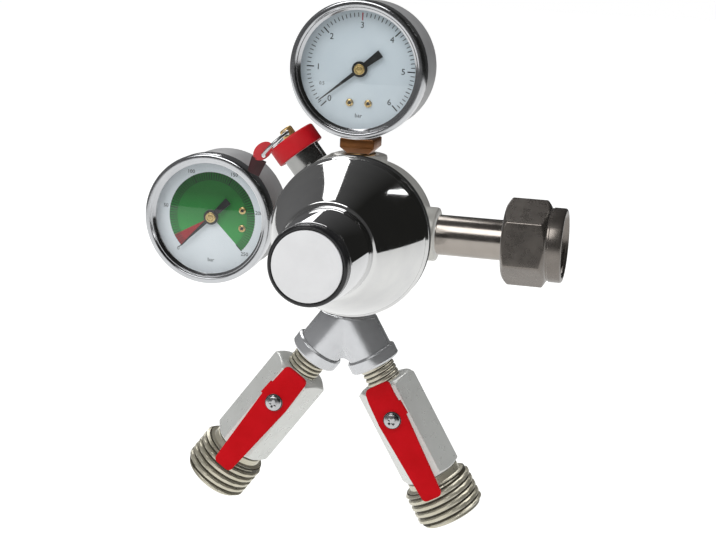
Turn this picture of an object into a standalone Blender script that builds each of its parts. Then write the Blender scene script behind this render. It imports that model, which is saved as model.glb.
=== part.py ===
"""Carbon dioxide regulator: body, two gauges, relief valve, inlet nut, wye and two shut-off valves.

The world origin is the centre of the inlet's sealing face, +X points out of the inlet, +Z is up and the
knob faces -Y. Sizes are in metres. Inside the body frame the inlet and the high-pressure gauge lie in one
port plane, and the other ports lie LOW_PLANE in front of it. "Forward" below means towards the knob.
"""

import math

import bmesh
import bpy
from mathutils import Matrix, Vector

MM = 0.001

# Fits and facets
GAP = 0.3 * MM
BIG_FACETS, ROUND_FACETS, SMALL_FACETS, TINY_FACETS = 24, 16, 10, 8
BORE_FACETS = 14
SHARP = math.radians(32)

# Body, measured forward from the inlet plane and outward from the knob axis
LOW_PLANE = 8.0 * MM
DRUM_R = 27.5 * MM
BODY_BACK = 13.0 * MM
FLANGE_R = DRUM_R + 3.9 * MM
FLANGE_BACK = 15.5 * MM
FLANGE_THICK = 3.0 * MM
SPIGOT_R = DRUM_R - 3.5 * MM
SPIGOT_LENGTH = 6.0 * MM
CHAMBER_R = SPIGOT_R - 4.0 * MM
CHAMBER_FLOOR = 5.2 * MM
PORT_REACH = DRUM_R + 2.0 * MM
BOSS_R = 10.2 * MM
BOSS_OVERLAP = 5.5 * MM
PORT_THREAD_R = 6.6 * MM
PORT_DEPTH = 9.5 * MM
PORT_BORE_R = 2.4 * MM
SUPPLY_BORE_R = 7.5 * MM
PARTITION_THICK = 2.7 * MM
NOZZLE_BOSS_R = 8.0 * MM
NOZZLE_BOSS_HEIGHT = 2.8 * MM

# Bonnet
BONNET_R = FLANGE_R - 1.2 * MM
BONNET_RIM = 2.6 * MM
BONNET_NOSE_R = 17.9 * MM
BONNET_LENGTH = 30.7 * MM
BONNET_BULGE = 0.9 * MM
BONNET_WALL = 2.8 * MM
GROOVE = 0.6 * MM

# Diaphragm stack
DIAPHRAGM_THICK = 0.7 * MM
CLAMP_THICK = 1.5 * MM
CLAMP_WIDTH = 3.6 * MM
PLATE_R = 13.0 * MM
CONVOLUTION_R = (PLATE_R + SPIGOT_R - CLAMP_WIDTH) / 2
CONVOLUTION_HALF = 0.215 * (SPIGOT_R - CLAMP_WIDTH - PLATE_R)
CONVOLUTION_HEIGHT = 1.5 * MM
PLATE_THICK = 2.6 * MM
PLATE_BOSS_R = 5.4 * MM
PLATE_BOSS_HEIGHT = 2.0 * MM

# Adjusting screw, button and range spring
SCREW_THREAD_R = 3.6 * MM
SCREW_COLLAR_R = 8.0 * MM
SCREW_COLLAR_THICK = 1.9 * MM
JOURNAL_R = 5.8 * MM
DRIVE_R = 4.8 * MM
BUTTON_R = 11.5 * MM
BUTTON_THICK = 3.0 * MM
BUTTON_TRAVEL = 4.5 * MM
SPRING_MEAN_R = 8.6 * MM
SPRING_WIRE_R = 0.95 * MM
SPRING_TURNS = 3.4

# Nozzle and poppet
NOZZLE_R = 4.8 * MM
NOZZLE_HEAD_R = 6.4 * MM
NOZZLE_HEAD = 1.8 * MM
NOZZLE_LIP_R = 2.8 * MM
NOZZLE_LIP = 1.0 * MM
ORIFICE_R = 1.7 * MM
PIN_R = 1.0 * MM
POPPET_R = 4.6 * MM
POPPET_THICK = 2.2 * MM
POPPET_SPRING_R = 3.2 * MM
POPPET_WIRE_R = 0.4 * MM
POPPET_SPRING_TURNS = 4.6
CAP_PLUG_DEPTH = 4.0 * MM
CAP_RECESS = 2.0 * MM
CAP_HEX = 19.0 * MM
CAP_HEAD = 5.0 * MM

# Knob
KNOB_BASE_R = 17.6 * MM
KNOB_FRONT_R = 15.9 * MM
KNOB_LENGTH = 22.0 * MM
KNOB_WALL = 1.3 * MM
KNOB_CLEARANCE = 0.6 * MM
KNOB_RECESS = 6.2 * MM
HUB_R = 7.8 * MM
HUB_DEPTH = 9.0 * MM
WEB_THICK = 3.5 * MM
RING_PROUD = 4.0 * MM
LABEL_R = 12.45 * MM
LABEL_THICK = 1.2 * MM

# Inlet
STEM_R = 7.6 * MM
STEM_BORE_R = 2.6 * MM
STEM_LENGTH = 30.5 * MM
NIPPLE_R = 10.4 * MM
NIPPLE_THICK = 4.0 * MM
GASKET_THICK = 2.0 * MM
NUT_HEX = 28.6 * MM
NUT_WALL = 6.2 * MM
NUT_LENGTH = 24.0 * MM
NUT_COLLAR_R = 13.9 * MM
NUT_COLLAR = 5.8 * MM
NUT_BORE_R = 10.9 * MM

# Gauges, measured from the pointer axis and forward from the socket axis
BEZEL_R = 25.25 * MM
GAUGE_REACH = FLANGE_R + BEZEL_R + 4.65 * MM
LEFT_GAUGE_REACH = FLANGE_R + BEZEL_R + 1.95 * MM
WINDOW_R = BEZEL_R - 3.75 * MM
CASE_WALL = 0.9 * MM
CASE_BACK = 15.5 * MM
DIAL_PLANE = 5.5 * MM
DIAL_THICK = 0.5 * MM
LENS_LIFT = 2.8 * MM
LENS_THICK = 1.2 * MM
BEZEL_SKIRT = 4.5 * MM
BEZEL_LIP = 2.0 * MM
SOCKET_SQUARE = 13.0 * MM
EXPOSED_THREAD = 1.5 * MM
SOCKET_NECK = 9.6 * MM
SOCKET_TOP = 10.5 * MM
SOCKET_BORE_R = 1.8 * MM
SOCKET_BORE_STOP = 4.0 * MM
TUBE_R = 16.2 * MM
TUBE_SPAN = math.radians(246)
TUBE_STEPS = 15
TUBE_START = math.radians(-58)
TUBE_THICK = 1.8 * MM
TUBE_WIDTH = 6.5 * MM
TUBE_PLANE = -9.0 * MM
HOLDER_WALL = 2.2 * MM
POINTER_TIP = 17.4 * MM
POINTER_TAIL = 6.6 * MM
POINTER_WIDTH = 0.9 * MM
TAIL_WIDTH = 3.0 * MM
POINTER_THICK = 0.4 * MM
POINTER_HUB_R = 1.9 * MM
ARBOR_R = 0.9 * MM
ARBOR_LENGTH = 10.0 * MM
ZERO_ANGLE = math.radians(225)
DIAL_SCREW_SPREAD = 3.5 * MM
DIAL_SCREW_DROP = 12.4 * MM
DIAL_SCREW_R = 1.5 * MM
DIAL_SCREW_HEAD = 0.6 * MM
DIAL_SCREW_SHANK_R = 0.6 * MM
DIAL_SCREW_LENGTH = 4.5 * MM
POINTER_LIFT = DIAL_SCREW_HEAD + 2 * GAP

# Relief valve, measured along its own axis from the knob axis
RELIEF_ANGLE = math.radians(129)
RELIEF_R = 7.25 * MM
RELIEF_LENGTH = 9.5 * MM
RELIEF_CAP_R = 9.5 * MM
RELIEF_CAP_LENGTH = 7.0 * MM
RELIEF_CAP_OVERLAP = 3.0 * MM
RELIEF_WALL = 1.9 * MM
RELIEF_ROD_R = 1.9 * MM
RELIEF_HEAD_R = 2.6 * MM
RELIEF_HEAD = 3.6 * MM
RELIEF_PAD_R = 4.4 * MM
RELIEF_PAD_THICK = 1.8 * MM
RELIEF_WIRE_R = 0.45 * MM
RELIEF_TURNS = 3.4
EYE_R = 1.35 * MM
PULL_RING_R = 6.4 * MM
PULL_WIRE_R = 0.6 * MM
PULL_ANGLE = math.radians(97.5)
TAG_LENGTH = 8.4 * MM
TAG_WIDTH = 5.8 * MM
TAG_THICK = 1.3 * MM
TAG_INWARD = 0.9 * MM
TAG_ASIDE = 1.4 * MM
TAG_HANG = math.radians(10)

# Wye, measured down from the knob axis and along each leg from the point where the legs meet
WYE_TOP = FLANGE_R + 0.4 * MM
WYE_APEX = WYE_TOP - 0.3 * MM
WYE_ANGLE = math.radians(33)
WYE_TURN = math.radians(3.5)
WYE_LEAN = math.radians(3)
LEG_R = 8.8 * MM
LEG_END = 21.5 * MM
LEG_COLLAR_R = 9.9 * MM
LEG_COLLAR = 4.0 * MM
LEG_BORE_R = 4.2 * MM
LEG_SOCKET_DEPTH = 8.0 * MM
LEG_SOCKET_R = 6.9 * MM
CROTCH_FILL = 5.0 * MM
CROTCH_ROUND_R = 4.4 * MM
CROTCH_ROUND_DROP = 1.2 * MM
WEB_HALF = 0.62 * LEG_R

# Shut-off valves, measured along each leg
VALVE_START = 30.0 * MM
VALVE_LENGTH = 40.0 * MM
VALVE_HEX = 21.0 * MM
VALVE_BORE_R = 4.2 * MM
CAVITY_START = 33.5 * MM
CAVITY_R = 8.3 * MM
PIVOT = 42.0 * MM
BALL_R = 7.5 * MM
SEAT_CLEARANCE = 0.8 * MM
SEAT_CONE_R = 7.0 * MM
SEAT_LENGTH = 4.2 * MM
VALVE_STEM_R = 2.9 * MM
SLOT_WIDTH = 2.6 * MM
SLOT_DEPTH = 1.8 * MM
GLAND_R = 4.8 * MM
GLAND_HEIGHT = 2.9 * MM
LEVER_THICK = 1.8 * MM
LEVER_SHORT = 14.0 * MM
LEVER_LONG = 34.0 * MM
LEVER_WIDTH = 10.8 * MM
LEVER_END_WIDTH = 9.4 * MM
LEVER_TIP_WIDTH = 6.3 * MM
LEVER_BEND = 4.5 * MM
LEVER_DROP = 1.6 * MM
LEVER_TAB = 0.7 * MM
LEVER_TAB_LENGTH = 5.5 * MM
LEVER_SCREW_R = 4.1 * MM
LEVER_SCREW_HEAD = 2.2 * MM
LEVER_SCREW_SHANK_R = 1.4 * MM
LEVER_SCREW_LENGTH = 4.2 * MM
NECK_R = 10.4 * MM
NECK_LENGTH = 2.6 * MM
OUTLET_THREAD_R = 13.22 * MM
OUTLET_END = 88.4 * MM
OUTLET_RECESS_R = 9.4 * MM
OUTLET_RECESS = 11.0 * MM

# Heights that follow from the sizes above, all forward from the inlet plane
FLANGE_FRONT = FLANGE_BACK + FLANGE_THICK
SPIGOT_FRONT = FLANGE_FRONT + SPIGOT_LENGTH
PARTITION_BACK = CHAMBER_FLOOR - PARTITION_THICK
NOZZLE_SEAT = CHAMBER_FLOOR + NOZZLE_BOSS_HEIGHT
BONNET_BACK = FLANGE_FRONT + GROOVE
BONNET_FRONT = BONNET_BACK + BONNET_LENGTH
DIAPHRAGM_BACK = SPIGOT_FRONT + GAP
DIAPHRAGM_FRONT = DIAPHRAGM_BACK + DIAPHRAGM_THICK
CLAMP_FRONT = DIAPHRAGM_FRONT + GAP + CLAMP_THICK
PLATE_BACK = DIAPHRAGM_FRONT + GAP
PLATE_FRONT = PLATE_BACK + PLATE_THICK
BONNET_INSIDE = BONNET_FRONT - BONNET_WALL
COLLAR_BACK = BONNET_INSIDE - GAP - SCREW_COLLAR_THICK
BUTTON_FRONT = COLLAR_BACK - GAP
BUTTON_BACK = BUTTON_FRONT - BUTTON_THICK
KNOB_BACK = BONNET_FRONT + KNOB_CLEARANCE
KNOB_FRONT = KNOB_BACK + KNOB_LENGTH
WEB_FRONT = KNOB_FRONT - KNOB_RECESS
WEB_BACK = WEB_FRONT - WEB_THICK
POPPET_TOP = PARTITION_BACK - NOZZLE_LIP - 2 * GAP
POPPET_BACK = POPPET_TOP - POPPET_THICK
NIPPLE_END = PORT_REACH + STEM_LENGTH + NIPPLE_THICK
SEAL_FACE = NIPPLE_END + GAP + GASKET_THICK
NUT_SHOULDER = PORT_REACH + STEM_LENGTH - GAP
NUT_BACK = NUT_SHOULDER - NUT_WALL
NUT_END = NUT_BACK + NUT_LENGTH


# Scene and materials


def clear_scene():
    for thing in list(bpy.data.objects):
        bpy.data.objects.remove(thing, do_unlink=True)


def finish(name, colour, roughness, metallic):
    material = bpy.data.materials.new(name)
    material.use_nodes = True
    shader = material.node_tree.nodes["Principled BSDF"]
    shader.inputs["Base Color"].default_value = (*colour, 1.0)
    shader.inputs["Roughness"].default_value = roughness
    shader.inputs["Metallic"].default_value = metallic
    material.diffuse_color = (*colour, 1.0)
    return material


def make_finishes():
    return {
        "chrome": finish("chrome", (0.80, 0.80, 0.82), 0.06, 1.0),
        "satin_nickel": finish("satin_nickel", (0.62, 0.62, 0.60), 0.32, 1.0),
        "warm_nickel": finish("warm_nickel", (0.45, 0.41, 0.38), 0.30, 1.0),
        "green_nickel": finish("green_nickel", (0.60, 0.64, 0.58), 0.28, 1.0),
        "cast_grey": finish("cast_grey", (0.55, 0.56, 0.58), 0.38, 1.0),
        "steel": finish("steel", (0.52, 0.52, 0.53), 0.35, 1.0),
        "case_steel": finish("case_steel", (0.20, 0.20, 0.21), 0.35, 1.0),
        "brass": finish("brass", (0.60, 0.42, 0.20), 0.30, 1.0),
        "spring_steel": finish("spring_steel", (0.38, 0.38, 0.40), 0.35, 1.0),
        "black_plastic": finish("black_plastic", (0.015, 0.015, 0.016), 0.35, 0.0),
        "label_grey": finish("label_grey", (0.74, 0.74, 0.76), 0.40, 0.0),
        "rubber": finish("rubber", (0.03, 0.03, 0.03), 0.70, 0.0),
        "seal_white": finish("seal_white", (0.85, 0.84, 0.80), 0.45, 0.0),
        "dial_white": finish("dial_white", (0.72, 0.77, 0.80), 0.55, 0.0),
        "lens": finish("lens", (0.90, 0.93, 0.94), 0.05, 0.0),
        "pointer_black": finish("pointer_black", (0.01, 0.01, 0.01), 0.40, 0.0),
        "red_paint": finish("red_paint", (0.52, 0.004, 0.012), 0.38, 0.0),
    }


# Frames, solids and Booleans


def frame(name, parent, origin, forward, up):
    """An empty whose local Z points along forward and whose local Y leans towards up."""
    z_axis = Vector(forward).normalized()
    x_axis = Vector(up).cross(z_axis).normalized()
    y_axis = z_axis.cross(x_axis)
    empty = bpy.data.objects.new(name, None)
    turn = Matrix((x_axis, y_axis, z_axis)).transposed().to_4x4()
    empty.parent = parent
    empty.matrix_basis = Matrix.Translation(origin) @ turn
    bpy.context.collection.objects.link(empty)
    return empty


def place(name, bm, parent, material):
    """Turn a bmesh into a named object whose origin is its parent frame's origin."""
    bmesh.ops.recalc_face_normals(bm, faces=bm.faces)
    mesh = bpy.data.meshes.new(name)
    bm.to_mesh(mesh)
    bm.free()
    mesh.shade_smooth()
    mesh.set_sharp_from_angle(angle=SHARP)
    solid = bpy.data.objects.new(name, mesh)
    solid.parent = parent
    if material is not None:
        mesh.materials.append(material)
    bpy.context.collection.objects.link(solid)
    return solid


def turned_mesh(profile, segments, span=2 * math.pi):
    """Spin (radius, height) points about Z. A profile that leaves the axis is closed into a ring."""
    bm = bmesh.new()
    verts = [bm.verts.new((r, 0.0, z)) for r, z in profile]
    edges = [bm.edges.new(pair) for pair in zip(verts, verts[1:])]
    if profile[0][0] > 0:
        edges.append(bm.edges.new((verts[-1], verts[0])))
    bmesh.ops.spin(
        bm, geom=verts + edges, axis=(0, 0, 1), cent=(0, 0, 0), angle=span, steps=segments, use_merge=True
    )
    bmesh.ops.remove_doubles(bm, verts=bm.verts, dist=1e-6)
    return bm


def turned(name, parent, profile, segments, material):
    return place(name, turned_mesh(profile, segments), parent, material)


def rod(name, parent, radius, low, high, segments, material=None):
    return turned(name, parent, [(0, low), (radius, low), (radius, high), (0, high)], segments, material)


def tube_profile(inner, outer, low, high):
    return [(inner, low), (outer, low), (outer, high), (inner, high)]


def prism_mesh(outline, low, high):
    """Extrude a flat outline of (x, y) points from one height to another."""
    bm = bmesh.new()
    face = bm.faces.new([bm.verts.new((x, y, low)) for x, y in outline])
    raised = bmesh.ops.extrude_face_region(bm, geom=[face])
    tops = [v for v in raised["geom"] if isinstance(v, bmesh.types.BMVert)]
    bmesh.ops.translate(bm, vec=(0, 0, high - low), verts=tops)
    return bm


def prism(name, parent, outline, low, high, material=None):
    return place(name, prism_mesh(outline, low, high), parent, material)


def block(name, parent, low, high, material=None):
    """A box between two corners."""
    outline = [(low[0], low[1]), (high[0], low[1]), (high[0], high[1]), (low[0], high[1])]
    return prism(name, parent, outline, low[2], high[2], material)


def combine(target, tool, operation):
    """Boolean the tool into the target and keep the tool as a hidden guide."""
    step = target.modifiers.new(tool.name, "BOOLEAN")
    step.operation = operation
    step.solver = "EXACT"
    step.object = tool
    tool.hide_render = True
    tool.display_type = "WIRE"


def cut(target, tool):
    combine(target, tool, "DIFFERENCE")


def add(target, tool):
    combine(target, tool, "UNION")


def hexagon_outline(across_flats):
    """Corners on +X and -X, so that flats face +Y and -Y."""
    corner = across_flats / math.sqrt(3)
    angles = [math.radians(60 * k) for k in range(6)]
    return [(corner * math.cos(a), corner * math.sin(a)) for a in angles]


def hexagon(name, parent, across_flats, low, high, material):
    """A hexagonal bar with the usual turned chamfer on both ends."""
    corner = across_flats / math.sqrt(3)
    flat = across_flats / 2
    slope = (corner - flat) * math.tan(math.radians(30))
    solid = prism(name, parent, hexagon_outline(across_flats), low, high, material)
    reach = corner + GAP
    drop = slope + GAP * math.tan(math.radians(30))
    profile = [(0, low), (flat, low), (reach, low + drop), (reach, high - drop), (flat, high), (0, high)]
    barrel = turned(name + "_chamfer", parent, profile, ROUND_FACETS, None)
    combine(solid, barrel, "INTERSECT")
    return solid


def coil(name, parent, mean_r, wire_r, low, high, turns, material, sides=5, steps=8):
    """A compression spring with closed ends, swept ring by ring along its helix."""
    bm = bmesh.new()
    count = int(turns * steps)
    closed = 0.75 / turns
    rise = 2.3 * wire_r * 0.75
    length = high - low - 2 * wire_r
    rings = []
    for i in range(count + 1):
        share = i / count
        angle = share * turns * 2 * math.pi
        if share < closed:
            z = rise * share / closed
        elif share > 1 - closed:
            z = length - rise * (1 - share) / closed
        else:
            z = rise + (length - 2 * rise) * (share - closed) / (1 - 2 * closed)
        centre = Vector((mean_r * math.cos(angle), mean_r * math.sin(angle), low + wire_r + z))
        outward = Vector((math.cos(angle), math.sin(angle), 0))
        ring = []
        for k in range(sides):
            around = 2 * math.pi * k / sides
            offset = outward * math.cos(around) + Vector((0, 0, 1)) * math.sin(around)
            ring.append(bm.verts.new(centre + offset * wire_r))
        rings.append(ring)
    for one, two in zip(rings, rings[1:]):
        for k in range(sides):
            bm.faces.new((one[k], one[(k + 1) % sides], two[(k + 1) % sides], two[k]))
    bm.faces.new(rings[0])
    bm.faces.new(rings[-1])
    return place(name, bm, parent, material)


# Regulator body and its inner parts, in the front frame whose Z points forward


def port_frame(name, front, angle, plane):
    """A frame on a port's axis: Z points radially out of the body, Y points forward."""
    outward = (math.cos(angle), math.sin(angle), 0)
    return frame(name, front, (0, 0, plane), outward, (0, 0, 1))


def make_ports(front):
    right, up, left, down = 0.0, math.pi / 2, math.pi, -math.pi / 2
    return {
        "inlet": port_frame("inlet_axis", front, right, 0.0),
        "high_gauge": port_frame("high_gauge_port", front, left, 0.0),
        "low_gauge": port_frame("low_gauge_port", front, up, LOW_PLANE),
        "relief": port_frame("relief_axis", front, RELIEF_ANGLE, LOW_PLANE),
        "wye": port_frame("wye_port", front, down - WYE_LEAN, LOW_PLANE),
    }


def make_body(front, ports, finishes):
    bevel = 2.2 * MM
    edge = 0.5 * MM
    profile = [
        (SUPPLY_BORE_R, -BODY_BACK),
        (DRUM_R - bevel, -BODY_BACK),
        (DRUM_R, bevel - BODY_BACK),
        (DRUM_R, FLANGE_BACK),
        (FLANGE_R, FLANGE_BACK),
        (FLANGE_R, FLANGE_FRONT - edge),
        (FLANGE_R - edge, FLANGE_FRONT),
        (SPIGOT_R, FLANGE_FRONT),
        (SPIGOT_R, SPIGOT_FRONT),
        (CHAMBER_R, SPIGOT_FRONT),
        (CHAMBER_R, CHAMBER_FLOOR),
        (NOZZLE_BOSS_R, CHAMBER_FLOOR),
        (NOZZLE_BOSS_R, NOZZLE_SEAT),
        (NOZZLE_R + GAP, NOZZLE_SEAT),
        (NOZZLE_R + GAP, PARTITION_BACK),
        (SUPPLY_BORE_R, PARTITION_BACK),
    ]
    drum = turned_mesh(profile, BIG_FACETS)
    quarter_facet = Matrix.Rotation(math.pi / BIG_FACETS / 2, 4, "Z")
    bmesh.ops.transform(drum, matrix=quarter_facet, verts=drum.verts)
    body = place("regulator_body", drum, front, finishes["satin_nickel"])
    for name, port in ports.items():
        add(body, rod(name + "_boss", port, BOSS_R, DRUM_R - BOSS_OVERLAP, PORT_REACH, ROUND_FACETS))
    for name, port in ports.items():
        start = SUPPLY_BORE_R - 2 * MM if port.location.z < LOW_PLANE / 2 else CHAMBER_R - 2 * MM
        mouth = PORT_REACH + 1 * MM
        floor = PORT_REACH - PORT_DEPTH
        outline = [
            (0, start),
            (PORT_BORE_R, start),
            (PORT_BORE_R, floor),
            (PORT_THREAD_R, floor),
            (PORT_THREAD_R, mouth),
            (0, mouth),
        ]
        cut(body, turned(name + "_bore", port, outline, BORE_FACETS, None))
    return body


def bonnet_radius(forward):
    """Outer radius of the slightly crowned cone at a distance forward of the bonnet's back edge."""
    share = (forward - BONNET_RIM) / (BONNET_LENGTH - BONNET_RIM)
    straight = BONNET_R - 0.7 * MM + (BONNET_NOSE_R - BONNET_R + 0.7 * MM) * share
    return straight + BONNET_BULGE * math.sin(math.pi * share)


def make_bonnet(front, finishes):
    edge = 0.8 * MM
    outer = [(SPIGOT_R + GAP, BONNET_BACK), (BONNET_R - edge, BONNET_BACK), (BONNET_R, BONNET_BACK + edge)]
    outer.append((BONNET_R, BONNET_BACK + BONNET_RIM - edge))
    steps = 6
    for k in range(steps):
        forward = BONNET_RIM + (BONNET_LENGTH - BONNET_RIM - edge) * k / (steps - 1)
        outer.append((bonnet_radius(forward), BONNET_BACK + forward))
    outer.append((BONNET_NOSE_R - edge, BONNET_FRONT))
    shoulder = CLAMP_FRONT + GAP
    inner = [
        (JOURNAL_R + GAP, BONNET_FRONT),
        (JOURNAL_R + GAP, BONNET_INSIDE),
        (bonnet_radius(BONNET_INSIDE - BONNET_BACK) - BONNET_WALL, BONNET_INSIDE),
        (SPIGOT_R - CLAMP_WIDTH + GAP, shoulder),
        (SPIGOT_R + GAP, shoulder),
    ]
    return turned("bonnet", front, outer + inner, BIG_FACETS, finishes["chrome"])


def make_diaphragm(front, finishes):
    low, high = DIAPHRAGM_BACK, DIAPHRAGM_FRONT
    rim = SPIGOT_R - GAP
    half = CONVOLUTION_HALF
    top = high + CONVOLUTION_HEIGHT
    bottom = low + CONVOLUTION_HEIGHT
    profile = [
        (0, low),
        (CONVOLUTION_R - half, low),
        (CONVOLUTION_R - half / 2, bottom),
        (CONVOLUTION_R + half / 2, bottom),
        (CONVOLUTION_R + half, low),
        (rim, low),
        (rim, high),
        (CONVOLUTION_R + 1.2 * half, high),
        (CONVOLUTION_R + 0.7 * half, top),
        (CONVOLUTION_R - 0.7 * half, top),
        (CONVOLUTION_R - 1.2 * half, high),
        (0, high),
    ]
    turned("diaphragm", front, profile, ROUND_FACETS, finishes["rubber"])
    clamp = tube_profile(SPIGOT_R - CLAMP_WIDTH, rim, DIAPHRAGM_FRONT + GAP, CLAMP_FRONT)
    turned("diaphragm_ring", front, clamp, ROUND_FACETS, finishes["brass"])
    plate = [
        (0, PLATE_BACK),
        (PLATE_R, PLATE_BACK),
        (PLATE_R, PLATE_FRONT - 0.8 * MM),
        (PLATE_R - 0.8 * MM, PLATE_FRONT),
        (PLATE_BOSS_R, PLATE_FRONT),
        (PLATE_BOSS_R, PLATE_FRONT + PLATE_BOSS_HEIGHT),
        (0, PLATE_FRONT + PLATE_BOSS_HEIGHT),
    ]
    turned("diaphragm_plate", front, plate, ROUND_FACETS, finishes["brass"])


def make_adjusting_train(front, finishes):
    thread_end = BUTTON_BACK - BUTTON_TRAVEL - GAP
    drive_end = WEB_BACK - GAP
    screw = [
        (0, thread_end),
        (SCREW_THREAD_R - 0.6 * MM, thread_end),
        (SCREW_THREAD_R, thread_end + 0.6 * MM),
        (SCREW_THREAD_R, COLLAR_BACK),
        (SCREW_COLLAR_R, COLLAR_BACK),
        (SCREW_COLLAR_R, COLLAR_BACK + SCREW_COLLAR_THICK),
        (JOURNAL_R, COLLAR_BACK + SCREW_COLLAR_THICK),
        (JOURNAL_R, KNOB_BACK + 1.0 * MM),
        (DRIVE_R, KNOB_BACK + 1.0 * MM),
        (DRIVE_R, drive_end),
        (0, drive_end),
    ]
    turned("adjusting_screw", front, screw, SMALL_FACETS, finishes["steel"])
    bore = SCREW_THREAD_R + GAP
    button = [
        (bore, BUTTON_BACK - 1.6 * MM),
        (PLATE_BOSS_R, BUTTON_BACK - 1.6 * MM),
        (PLATE_BOSS_R, BUTTON_BACK),
        (BUTTON_R, BUTTON_BACK),
        (BUTTON_R, BUTTON_FRONT - 0.8 * MM),
        (BUTTON_R - 0.8 * MM, BUTTON_FRONT),
        (bore, BUTTON_FRONT),
    ]
    turned("spring_button", front, button, ROUND_FACETS, finishes["brass"])
    low = PLATE_FRONT + GAP
    high = BUTTON_BACK - GAP
    steel = finishes["spring_steel"]
    coil("range_spring", front, SPRING_MEAN_R, SPRING_WIRE_R, low, high, SPRING_TURNS, steel)


def make_nozzle_and_poppet(front, finishes):
    head_front = NOZZLE_SEAT + GAP + NOZZLE_HEAD
    lip_back = PARTITION_BACK - NOZZLE_LIP
    nozzle = [
        (ORIFICE_R, lip_back),
        (NOZZLE_LIP_R, lip_back),
        (NOZZLE_LIP_R, PARTITION_BACK),
        (NOZZLE_R, PARTITION_BACK),
        (NOZZLE_R, NOZZLE_SEAT + GAP),
        (NOZZLE_HEAD_R, NOZZLE_SEAT + GAP),
        (NOZZLE_HEAD_R, head_front),
        (ORIFICE_R, head_front),
    ]
    turned("nozzle", front, nozzle, SMALL_FACETS, finishes["brass"])
    poppet = [
        (0, POPPET_BACK),
        (POPPET_R, POPPET_BACK),
        (POPPET_R, POPPET_TOP),
        (PIN_R, POPPET_TOP),
        (PIN_R, DIAPHRAGM_BACK - GAP),
        (0, DIAPHRAGM_BACK - GAP),
    ]
    turned("poppet", front, poppet, TINY_FACETS, finishes["steel"])
    plug_front = CAP_PLUG_DEPTH - BODY_BACK
    recess = plug_front - CAP_RECESS
    low, high = recess + GAP, POPPET_BACK - GAP
    steel = finishes["spring_steel"]
    coil("poppet_spring", front, POPPET_SPRING_R, POPPET_WIRE_R, low, high, POPPET_SPRING_TURNS, steel)
    head_back = -BODY_BACK - GAP - CAP_HEAD
    cap = hexagon("back_cap", front, CAP_HEX, head_back, -BODY_BACK - GAP, finishes["green_nickel"])
    recess_r = POPPET_SPRING_R + POPPET_WIRE_R + 2 * GAP
    plug = [
        (0, head_back + 1 * MM),
        (SUPPLY_BORE_R - GAP, head_back + 1 * MM),
        (SUPPLY_BORE_R - GAP, plug_front),
        (recess_r, plug_front),
        (recess_r, recess),
        (0, recess),
    ]
    add(cap, turned("back_cap_plug", front, plug, ROUND_FACETS, None))


# Knob


def make_knob(front, finishes):
    lip = KNOB_FRONT_R - 0.7 * MM
    inner_back = KNOB_BASE_R - KNOB_WALL
    inner_front = KNOB_FRONT_R - KNOB_WALL
    hub_back = WEB_BACK - HUB_DEPTH
    shell = [
        (0, WEB_FRONT),
        (lip, WEB_FRONT),
        (lip, KNOB_FRONT),
        (KNOB_FRONT_R - 0.3 * MM, KNOB_FRONT),
        (KNOB_FRONT_R, KNOB_FRONT - 0.5 * MM),
        (KNOB_BASE_R - 0.4 * MM, KNOB_BACK + 2.2 * MM),
        (KNOB_BASE_R, KNOB_BACK + 0.8 * MM),
        (KNOB_BASE_R - 0.4 * MM, KNOB_BACK),
        (inner_back, KNOB_BACK),
        (inner_front, WEB_BACK),
        (HUB_R, WEB_BACK),
        (HUB_R, hub_back),
        (DRIVE_R + GAP, hub_back),
        (DRIVE_R + GAP, WEB_BACK),
        (0, WEB_BACK),
    ]
    turned("knob_shell", front, shell, BIG_FACETS, finishes["chrome"])
    ring_r = lip - GAP
    ring_front = KNOB_FRONT + RING_PROUD
    seat = ring_front - LABEL_THICK
    ring = [
        (0, WEB_FRONT + GAP),
        (ring_r, WEB_FRONT + GAP),
        (ring_r, KNOB_FRONT + 0.5 * MM),
        (ring_r - 0.3 * MM, KNOB_FRONT + 1.4 * MM),
        (LABEL_R + 0.7 * MM, ring_front),
        (LABEL_R + GAP, ring_front),
        (LABEL_R + GAP, seat),
        (0, seat),
    ]
    turned("knob_ring", front, ring, BIG_FACETS, finishes["black_plastic"])
    top = ring_front + 0.5 * MM
    label = [
        (0, seat + GAP),
        (LABEL_R, seat + GAP),
        (LABEL_R, top - 0.5 * MM),
        (LABEL_R - 0.6 * MM, top),
        (0, top + 0.2 * MM),
    ]
    turned("knob_label", front, label, BIG_FACETS, finishes["label_grey"])


# Inlet, in a frame whose Z points out of the inlet


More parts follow.
